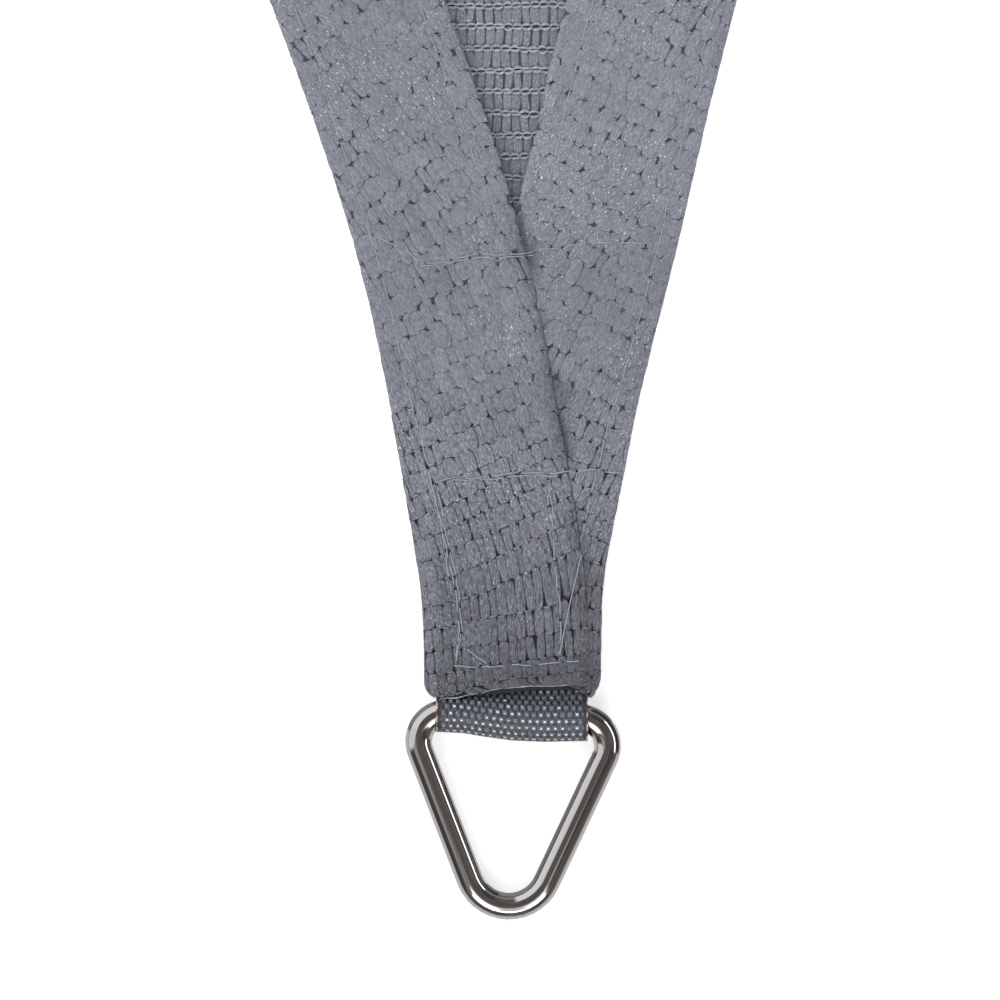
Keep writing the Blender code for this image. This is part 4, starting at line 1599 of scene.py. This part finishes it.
# The knit drawn on the far sheet, in shares of a row and a course
FAR_STREAKS = (3.0, 2.0, (1.0, 0.25, 1.0))
FAR_TONES = (0.8, 1.15)
FAR_HOLE = (0.02, 0.07)  # squared distance over which the painted shade of a gap between stitches fades
FAR_HOLE_FLAT = 5.0  # how much narrower a gap is along the columns, squared
FAR_LINE = (0.02, 0.06)  # distance over which the line of a row fades
FAR_LINE_PALE = 0.45
UNDER_FADE = (0.6, 0.2)  # below and above the laid yarns' end, where the dark sheet ends

# The webbing, in shares of a yarn and a row
FIBRES = (6.0, 3.0, (1.0, 0.4, 1.0))
FIBRE_TONES = (0.3, 1.5)
BITS = (1.3, 1.0, (0.22, 1.0, 1.0))  # noise of which yarns carry a painted glint
SHINING = (160.0, 1.0)  # and of where on the strap


def node(tree, kind, inputs=None, **settings):
    """Adds a node. Its inputs are numbers, or other nodes' outputs, by name or by number."""
    made = tree.nodes.new(kind)
    for key, value in settings.items():
        setattr(made, key, value)
    for key, value in (inputs or {}).items():
        if isinstance(value, bpy.types.NodeSocket):
            tree.links.new(value, made.inputs[key])
        else:
            made.inputs[key].default_value = value
    return made


def maths(tree, operation, *values):
    """One step of arithmetic between values."""
    return node(tree, "ShaderNodeMath", dict(enumerate(values)), operation=operation).outputs[0]


def product(tree, *values):
    """Several values multiplied."""
    result = values[0]
    for value in values[1:]:
        result = maths(tree, "MULTIPLY", result, value)
    return result


def without(tree, share):
    """What a share leaves of the whole."""
    return maths(tree, "SUBTRACT", 1.0, share)


def painted(tree, name):
    """A number that the points of a mesh carry."""
    return node(tree, "ShaderNodeAttribute", attribute_name=name).outputs["Fac"]


def from_middle(tree, value):
    """Distance of a value from the middle between whole numbers."""
    return maths(tree, "ABSOLUTE", maths(tree, "SUBTRACT", maths(tree, "FRACT", value), 0.5))


def scaled(colour, share):
    """A colour made darker or paler."""
    return tuple(share * c for c in colour)


def blend(tree, share, first, second, blend_type="MIX"):
    """Two colours mixed, or multiplied, in a share."""
    made = node(tree, "ShaderNodeMix", {0: share}, data_type="RGBA", blend_type=blend_type)
    for place, value in ((6, first), (7, second)):
        if isinstance(value, bpy.types.NodeSocket):
            tree.links.new(value, made.inputs[place])
        else:
            made.inputs[place].default_value = (*value, 1)
    return made.outputs[2]


def toned(tree, colour, value):
    """A colour multiplied by a value."""
    grey = node(tree, "ShaderNodeCombineColor", {0: value, 1: value, 2: value}).outputs[0]
    return blend(tree, 1.0, colour, grey, "MULTIPLY")


def spread(tree, value, low, high, low_out=0.0, high_out=1.0):
    """Reads a value between two limits as a smooth step between two others."""
    inputs = {0: value, 1: low, 2: high, 3: low_out, 4: high_out}
    made = node(tree, "ShaderNodeMapRange", inputs, interpolation_type="SMOOTHSTEP")
    return made.outputs[0]


def noise(tree, place, scale, detail=2.0, size=(1, 1, 1)):
    """Noise around 0.5, read at places that are first stretched."""
    moved = node(tree, "ShaderNodeMapping", {"Vector": place, "Scale": size})
    inputs = {"Vector": moved.outputs[0], "Scale": scale, "Detail": detail}
    return node(tree, "ShaderNodeTexNoise", inputs).outputs[0]


def effect(name, takes, gives):
    """An empty node group with named inputs and outputs, and its two end nodes."""
    tree = bpy.data.node_groups.new(name, "ShaderNodeTree")
    for way, sockets in (("INPUT", takes), ("OUTPUT", gives)):
        for label, kind in sockets.items():
            tree.interface.new_socket(label, in_out=way, socket_type=f"NodeSocket{kind}")
    return tree, node(tree, "NodeGroupInput"), node(tree, "NodeGroupOutput")


def material(name, colour, roughness, metallic=0.0):
    """A new plain material."""
    finish = bpy.data.materials.new(name)
    finish.use_nodes = True
    shader = finish.node_tree.nodes["Principled BSDF"]
    shader.inputs["Base Color"].default_value = (*colour, 1)
    shader.inputs["Roughness"].default_value = roughness
    shader.inputs["Metallic"].default_value = metallic
    return finish


def crease_shade(tree, run, fold, creased):
    """Painted shade of fine cracks in the folded parts of a creased yarn."""
    vein = maths(tree, "SUBTRACT", noise(tree, run, *VEINS), 0.5)
    crack = spread(tree, maths(tree, "ABSOLUTE", vein), 0.005, 0.035, 0.55, 0.0)
    return product(tree, crack, spread(tree, fold, 0.42, 0.58), creased)


def border_shade_lines(tree, fleck, creased):
    """Painted shade of the lines at a tape's sides, ends and corners, where they meet their
    neighbours.
    """
    border = node(tree, "ShaderNodeUVMap", uv_map="border").outputs[0]
    parts = node(tree, "ShaderNodeSeparateXYZ", {0: border})
    wobble = maths(tree, "MULTIPLY", maths(tree, "SUBTRACT", fleck, 0.5), LINE_WOBBLE)
    side = maths(tree, "ADD", parts.outputs[0], wobble)
    end = maths(tree, "ADD", parts.outputs[1], wobble)
    squares = maths(tree, "ADD", product(tree, side, side), product(tree, end, end))
    corner = maths(tree, "POWER", squares, 0.5)
    lines = []
    for gap, (reach, dark) in ((side, SIDE_LINE), (end, END_LINE), (corner, CORNER_LINE)):
        depth = spread(tree, creased, *CREASING, *dark)
        lines.append(product(tree, spread(tree, gap, LINE_CORE, reach, 1.0, 0.0), depth))
    return lines


def painted_glints(tree, run, laid_shade_and_tone):
    """Painted glints: small bright spots, in patches of the cloth and fewer where it lies dark."""
    place = node(tree, "ShaderNodeTexCoord").outputs["Object"]
    spots = spread(tree, noise(tree, run, *SPOTS), 0.68, 0.705)
    patches = spread(tree, noise(tree, place, *GLINTING), 0.44, 0.58)
    return product(tree, spots, patches, spread(tree, laid_shade_and_tone, 0.6, 0.95, 0.45, 1.0))


def tape_plastic():
    """The group of both yarns: streaks along them, a tone of their own, painted shade at their
    borders and creases, and painted glints.
    """
    takes = {"Dark streaks": "Color", "Pale streaks": "Color"}
    tree, given, out = effect("tape_plastic", takes, {"Colour": "Color", "Streaks": "Float"})
    run = node(tree, "ShaderNodeUVMap", uv_map="yarn").outputs[0]
    streak, fleck, fold = [noise(tree, run, *kind) for kind in (STREAKS, FLECKS, FOLDS)]
    laid_shade_and_tone, creased = painted(tree, "tone"), painted(tree, "creased")
    share = maths(tree, "SUBTRACT", spread(tree, streak, 0.38, 0.64), 0.5)
    strong = spread(tree, creased, *CREASING, *STREAK_STRENGTH)
    share = maths(tree, "MULTIPLY_ADD", share, strong, 0.5)
    tone = blend(tree, share, *[given.outputs[label] for label in takes])
    own = maths(tree, "MULTIPLY_ADD", painted(tree, "tint"), OWN_TONE, 1.0)
    own = product(tree, own, laid_shade_and_tone, spread(tree, fold, 0.3, 0.7, 0.93, 1.07),
                  spread(tree, fleck, 0.36, 0.64, 0.86, 1.14))
    for dark in [crease_shade(tree, run, fold, creased), *border_shade_lines(tree, fleck, creased)]:
        own = product(tree, own, without(tree, dark))
    tone = blend(tree, painted_glints(tree, run, laid_shade_and_tone), toned(tree, tone, own), PAINTED_GLINT)
    tree.links.new(tone, out.inputs["Colour"])
    tree.links.new(streak, out.inputs["Streaks"])
    return tree


def yarn_finish(name, plastic, colour, roughness):
    """Plastic tape yarn of one colour, with fine relief along its streaks."""
    finish = material(name, colour, roughness)
    tree = finish.node_tree
    shader = tree.nodes["Principled BSDF"]
    dark, pale = [(*scaled(colour, part), 1) for part in STREAK_TONES]
    values = {"Dark streaks": dark, "Pale streaks": pale}
    surface = node(tree, "ShaderNodeGroup", values, node_tree=plastic)
    tree.links.new(surface.outputs["Colour"], shader.inputs["Base Color"])
    relief = {"Strength": 0.5, "Distance": BUMP, "Height": surface.outputs["Streaks"]}
    tree.links.new(node(tree, "ShaderNodeBump", relief).outputs[0], shader.inputs["Normal"])
    return finish


def drawn_knit():
    """The group of the sheet's materials: the knit as it looks from afar, its gaps in painted
    shade.
    """
    tree, _, out = effect("drawn_knit", {}, {"Colour": "Color"})
    rows = node(tree, "ShaderNodeUVMap", uv_map="knit").outputs[0]
    parts = node(tree, "ShaderNodeSeparateXYZ", {0: rows})
    across, along = from_middle(tree, parts.outputs[0]), from_middle(tree, parts.outputs[1])
    hole = maths(tree, "ADD", product(tree, across, across),
                 product(tree, product(tree, along, along), FAR_HOLE_FLAT))
    hole = spread(tree, hole, *FAR_HOLE, 1.0, 0.0)
    line = spread(tree, along, *FAR_LINE, 1.0, 0.0)
    streak = noise(tree, rows, *FAR_STREAKS)
    tone = blend(tree, streak, *[scaled(CLOTH, part) for part in FAR_TONES])
    tone = blend(tree, product(tree, line, FAR_LINE_PALE), tone, CLOTH_PALE)
    tree.links.new(blend(tree, hole, tone, CLOTH_GAP_SHADE), out.inputs["Colour"])
    return tree


def sheet_finish(name, knit, under_yarns):
    """The sheet below the yarns: painted shade under them, and elsewhere with the knit drawn on it.
    """
    finish = material(name, CLOTH_FAR, 0.6)
    tree = finish.node_tree
    tone = node(tree, "ShaderNodeGroup", node_tree=knit).outputs["Colour"]
    if under_yarns:
        climb = painted(tree, "climb")
        below, above = UNDER_FADE
        under = spread(tree, climb, KNIT_TOP - below, KNIT_TOP + above, 1.0, 0.0)
        shaded_gaps = blend(tree, spread(tree, climb, *LOOSE_FROM), CLOTH_GAP_SHADE, CLOTH_LOOSE_GAP_SHADE)
        tone = blend(tree, under, tone, shaded_gaps)
    tree.links.new(tone, tree.nodes["Principled BSDF"].inputs["Base Color"])
    return finish


def strap_finish(name):
    """Webbing: warp yarns over gaps in painted shade, with painted light on the rows and painted
    shade between them, and painted glints on some yarns.
    """
    finish = material(name, STRAP, 0.45)
    tree = finish.node_tree
    shader = tree.nodes["Principled BSDF"]
    yarns = node(tree, "ShaderNodeUVMap", uv_map="weave").outputs[0]
    parts = node(tree, "ShaderNodeSeparateXYZ", {0: yarns})
    top, low = painted(tree, "yarn_top"), painted(tree, "low")
    fibre = spread(tree, noise(tree, yarns, *FIBRES), 0.38, 0.62)
    tone = blend(tree, fibre, *[scaled(STRAP, part) for part in FIBRE_TONES])
    # painted shade in the gaps, darkest near the mouth and lighter down the loop
    filled = spread(tree, low, 1.5, 5.0, 0.0, 0.4)
    filled = maths(tree, "MAXIMUM", filled, spread(tree, top, -0.5, -0.1))
    tone = blend(tree, filled, STRAP_GAP_SHADE, tone)
    beside = from_middle(tree, maths(tree, "ADD", parts.outputs[1], 0.5))
    # painted light on the middle of each row of the weave, painted shade between the rows
    tone = toned(tree, tone, spread(tree, beside, 0.22, 0.44, 1.2, 0.48))
    top = product(tree, top, spread(tree, beside, 0.11, 0.16, 1.0, 0.0))
    # painted glints, more of them down the loop where it turns towards the light
    need = spread(tree, low, 1.0, 4.5, 0.58, 0.43)
    bits = maths(tree, "SUBTRACT", noise(tree, yarns, *BITS), need)
    place = node(tree, "ShaderNodeTexCoord").outputs["Object"]
    patches = spread(tree, noise(tree, place, *SHINING), 0.26, 0.46)
    bits = product(tree, spread(tree, bits, 0.0, 0.05), patches, spread(tree, top, 0.52, 0.64))
    tone = blend(tree, bits, tone, PAINTED_GLINT)
    side = maths(tree, "ABSOLUTE", parts.outputs[0])
    edge = spread(tree, side, CUT_EDGE / WARP - 0.9, CUT_EDGE / WARP)
    tone = blend(tree, edge, tone, STRAP_SCORCHED)
    tree.links.new(tone, shader.inputs["Base Color"])
    return finish


# ---------------------------------------------------------------- studio


# What the steel mirrors: bearing and least and most angle from straight up, in the front
# corner's frame, with how far each fades and its brightness
PANES = (
    # bearing, half width, from, to, fade, brightness
    (100.0, 62.0, 64.0, 181.0, 10.0, 0.40),
    (-80.0, 112.0, 94.0, 181.0, 5.0, 0.90),
    (150.0, 46.0, 37.0, 91.0, 5.0, 1.35),
    (178.0, 15.0, 32.0, 80.0, 7.0, 1.15),
    (207.0, 11.0, 24.0, 48.0, 6.0, 0.55),
    (27.0, 42.0, 78.0, 120.0, 4.0, 0.07),
    (12.0, 27.0, 61.0, 72.5, 2.0, 4.0),
    (-90.0, 36.0, 15.0, 40.0, 5.0, 1.0),
    (-90.0, 42.0, 42.0, 55.0, 3.5, 4.0),
    (-116.0, 15.0, 24.0, 50.0, 5.0, 4.5),
    (-62.0, 12.0, 24.0, 46.0, 5.0, 3.0),
)
DARK_ROOM = (0.235, 0.203, 0.193)
DARK_ROOM_DEEP = (0.085, 0.072, 0.068)
LAMPS = (
    # name, place from the view's centre, size, power
    ("key", (-1.7, 1.3, 2.7), 1.4, 26.0),
    ("fill", (1.6, 0.5, 3.0), 2.6, 10.0),
)
STAGE_LIGHT = 1.0
MURK = (3.2, 3.0)  # noise of the dark room's uneven walls

# The floor: size in metres, how far below the sail, colour and glow
FLOOR_SIZE = 90.0
FLOOR_LOW = 0.0004
FLOOR_COLOUR = (0.8, 0.8, 0.8)
FLOOR_GLOW = 0.55


def make_world():
    """The surroundings: a dim room with the bright panes that the steel mirrors."""
    world = bpy.data.worlds.new("studio")
    bpy.context.scene.world = world
    world.use_nodes = True
    tree = world.node_tree
    looked = node(tree, "ShaderNodeTexCoord").outputs["Generated"]
    turn = node(tree, "ShaderNodeVectorRotate", {"Vector": looked, "Angle": STRAP_LEAN},
                rotation_type="Z_AXIS").outputs[0]
    parts = node(tree, "ShaderNodeSeparateXYZ", {0: turn})
    down = maths(tree, "ARCCOSINE", parts.outputs[2])
    murk = spread(tree, noise(tree, turn, *MURK), 0.36, 0.64)
    tone = blend(tree, murk, DARK_ROOM_DEEP, DARK_ROOM)
    x, y = parts.outputs[0], parts.outputs[1]
    for bearing, half, start, end, fade, brightness in PANES:
        facing = radians(bearing)
        along = maths(tree, "ADD", product(tree, x, cos(facing)), product(tree, y, sin(facing)))
        aside = maths(tree, "SUBTRACT", product(tree, y, cos(facing)),
                      product(tree, x, sin(facing)))
        off = maths(tree, "ABSOLUTE", maths(tree, "ARCTAN2", aside, along))
        width = spread(tree, off, radians(half - fade), radians(half + fade), 1.0, 0.0)
        low = spread(tree, down, radians(start - fade), radians(start + fade))
        high = spread(tree, down, radians(end - fade), radians(end + fade), 1.0, 0.0)
        tone = blend(tree, product(tree, low, high, width), tone, (brightness,) * 3)
    background = tree.nodes["Background"]
    tree.links.new(tone, background.inputs["Color"])
    background.inputs["Strength"].default_value = STAGE_LIGHT


def make_stage():
    """The floor, the surroundings and the lamps."""
    bpy.ops.object.select_all(action="DESELECT")
    bpy.ops.mesh.primitive_plane_add(size=FLOOR_SIZE, location=(0, 0, -FLOOR_LOW))
    floor = bpy.context.object
    floor.name = "floor"
    pale = material("pale_floor", FLOOR_COLOUR, 0.9)
    shader = pale.node_tree.nodes["Principled BSDF"]
    shader.inputs["Emission Color"].default_value = (1, 1, 1, 1)
    shader.inputs["Emission Strength"].default_value = FLOOR_GLOW
    floor.data.materials.append(pale)
    floor.visible_glossy = False
    make_world()
    place = corner_matrix(0)
    spot = Vector((VIEW_CENTRE[0] * MM, VIEW_CENTRE[1] * MM, 0))
    for name, away, size, power in LAMPS:
        lamp_data = bpy.data.lights.new(name, "AREA")
        lamp_data.shape = "DISK"
        lamp_data.size = size
        lamp_data.energy = power
        lamp = bpy.data.objects.new(name, lamp_data)
        bpy.context.scene.collection.objects.link(lamp)
        away = Vector(away)
        lamp.location = place @ (spot + away)
        lamp.rotation_euler = (place.to_3x3() @ away).to_track_quat("Z", "Y").to_euler()
        lamp.visible_camera = False
        lamp.visible_glossy = False
    bpy.context.scene.view_settings.view_transform = "Standard"


def make_camera():
    """The camera straight above the front corner."""
    lens = bpy.data.cameras.new("camera")
    lens.lens = LENS
    lens.sensor_width = SENSOR
    lens.sensor_fit = "HORIZONTAL"
    camera = bpy.data.objects.new("camera", lens)
    bpy.context.scene.collection.objects.link(camera)
    away = VIEW_WIDTH * MM / SENSOR * LENS
    spot = Vector((VIEW_CENTRE[0] * MM, VIEW_CENTRE[1] * MM, away))
    camera.matrix_world = corner_matrix(0) @ Matrix.Translation(spot)
    bpy.context.scene.camera = camera


# ---------------------------------------------------------------- the scene


def settle(piece, finishes, slot, *nodes):
    """Finishes a piece: its materials, its body and the nodes that it stands for; the slot is not
    used.
    """
    slots = piece.data.materials
    for index, finish in enumerate(finishes):
        if index < len(slots):
            slots[index] = finish
        else:
            slots.append(finish)
    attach(piece, "root")
    if nodes:
        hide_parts(*nodes)
    return piece


def dress_cloth(sides):
    """The cloth: the body, and on it the hems, the yarns and the sewing."""
    knit, plastic = drawn_knit(), tape_plastic()
    sheet = [
        sheet_finish("knitted_sheet", knit, True),
        sheet_finish("knitted_sheet_below", knit, False),
        material("cut_ends", CUT_ENDS_SHADE, 0.9),
    ]
    yarns = [
        yarn_finish("tape_yarn", plastic, CLOTH, 0.42),
        yarn_finish("fine_yarn", plastic, CLOTH_PALE, 0.35),
    ]
    thread = [material("sewing_thread", THREADS, 0.35)]
    # the needle holes, in painted shade
    hole = [material("needle_hole", CLOTH_GAP_SHADE, 0.9)]
    melted = [material("raw_edge", MELTED, 0.4)]
    panel = settle(make_panel(sides), sheet, "knitted_cloth", "sail_cloth")
    for side in sides:
        name = f"{CORNERS[side.first]}_{CORNERS[side.last]}"
        settle(make_hem(side, f"hem_{name}"), sheet, "knitted_cloth")
        settle(make_seams(side, f"seams_{name}"), thread, "knitted_cloth")
    for corner, name in enumerate(CORNERS):
        left, right = sides[corner], sides[(corner + 1) % 3]
        grounds = {
            "upper_hem": Flap(left, True),
            "lower_hem": Flap(right, False, cover=left),
            "body": Body(corner, left, right),
        }
        for index, (part, ground) in enumerate(grounds.items()):
            seed = SEEDS["knit"] + len(grounds) * corner + index
            piece = make_knit(f"knit_{name}_{part}", ground, seed)
            settle(piece, yarns, "knitted_cloth")
        settle(make_sewing(corner, left, right), thread, "knitted_cloth")
        settle(make_holes(corner, left, right), hole, "knitted_cloth")
        settle(make_raw_edge(corner, left), melted, "knitted_cloth")


def dress_webbing():
    """The webbing loops, with the melted beads along their edges."""
    strap = [strap_finish("woven_strap")]
    edge = [material("melted_edge", STRAP_EDGE, 0.4)]
    for corner, name in enumerate(CORNERS):
        webbing = settle(make_webbing(corner), strap, "webbing", f"webbing_{name}")
        beads = settle(make_cut_edges(corner), edge, "webbing")


def main():
    """The camera, the studio and the sail's pieces."""
    make_camera()
    make_stage()
    dress_cloth([Side(first) for first in range(3)])
    dress_webbing()
    steel = [material("polished_steel", STEEL, 0.09, 1.0)]
    for name, ring in zip(CORNERS, make_rings()):
        settle(ring, steel, "ring_steel", f"ring_{name}")


main()
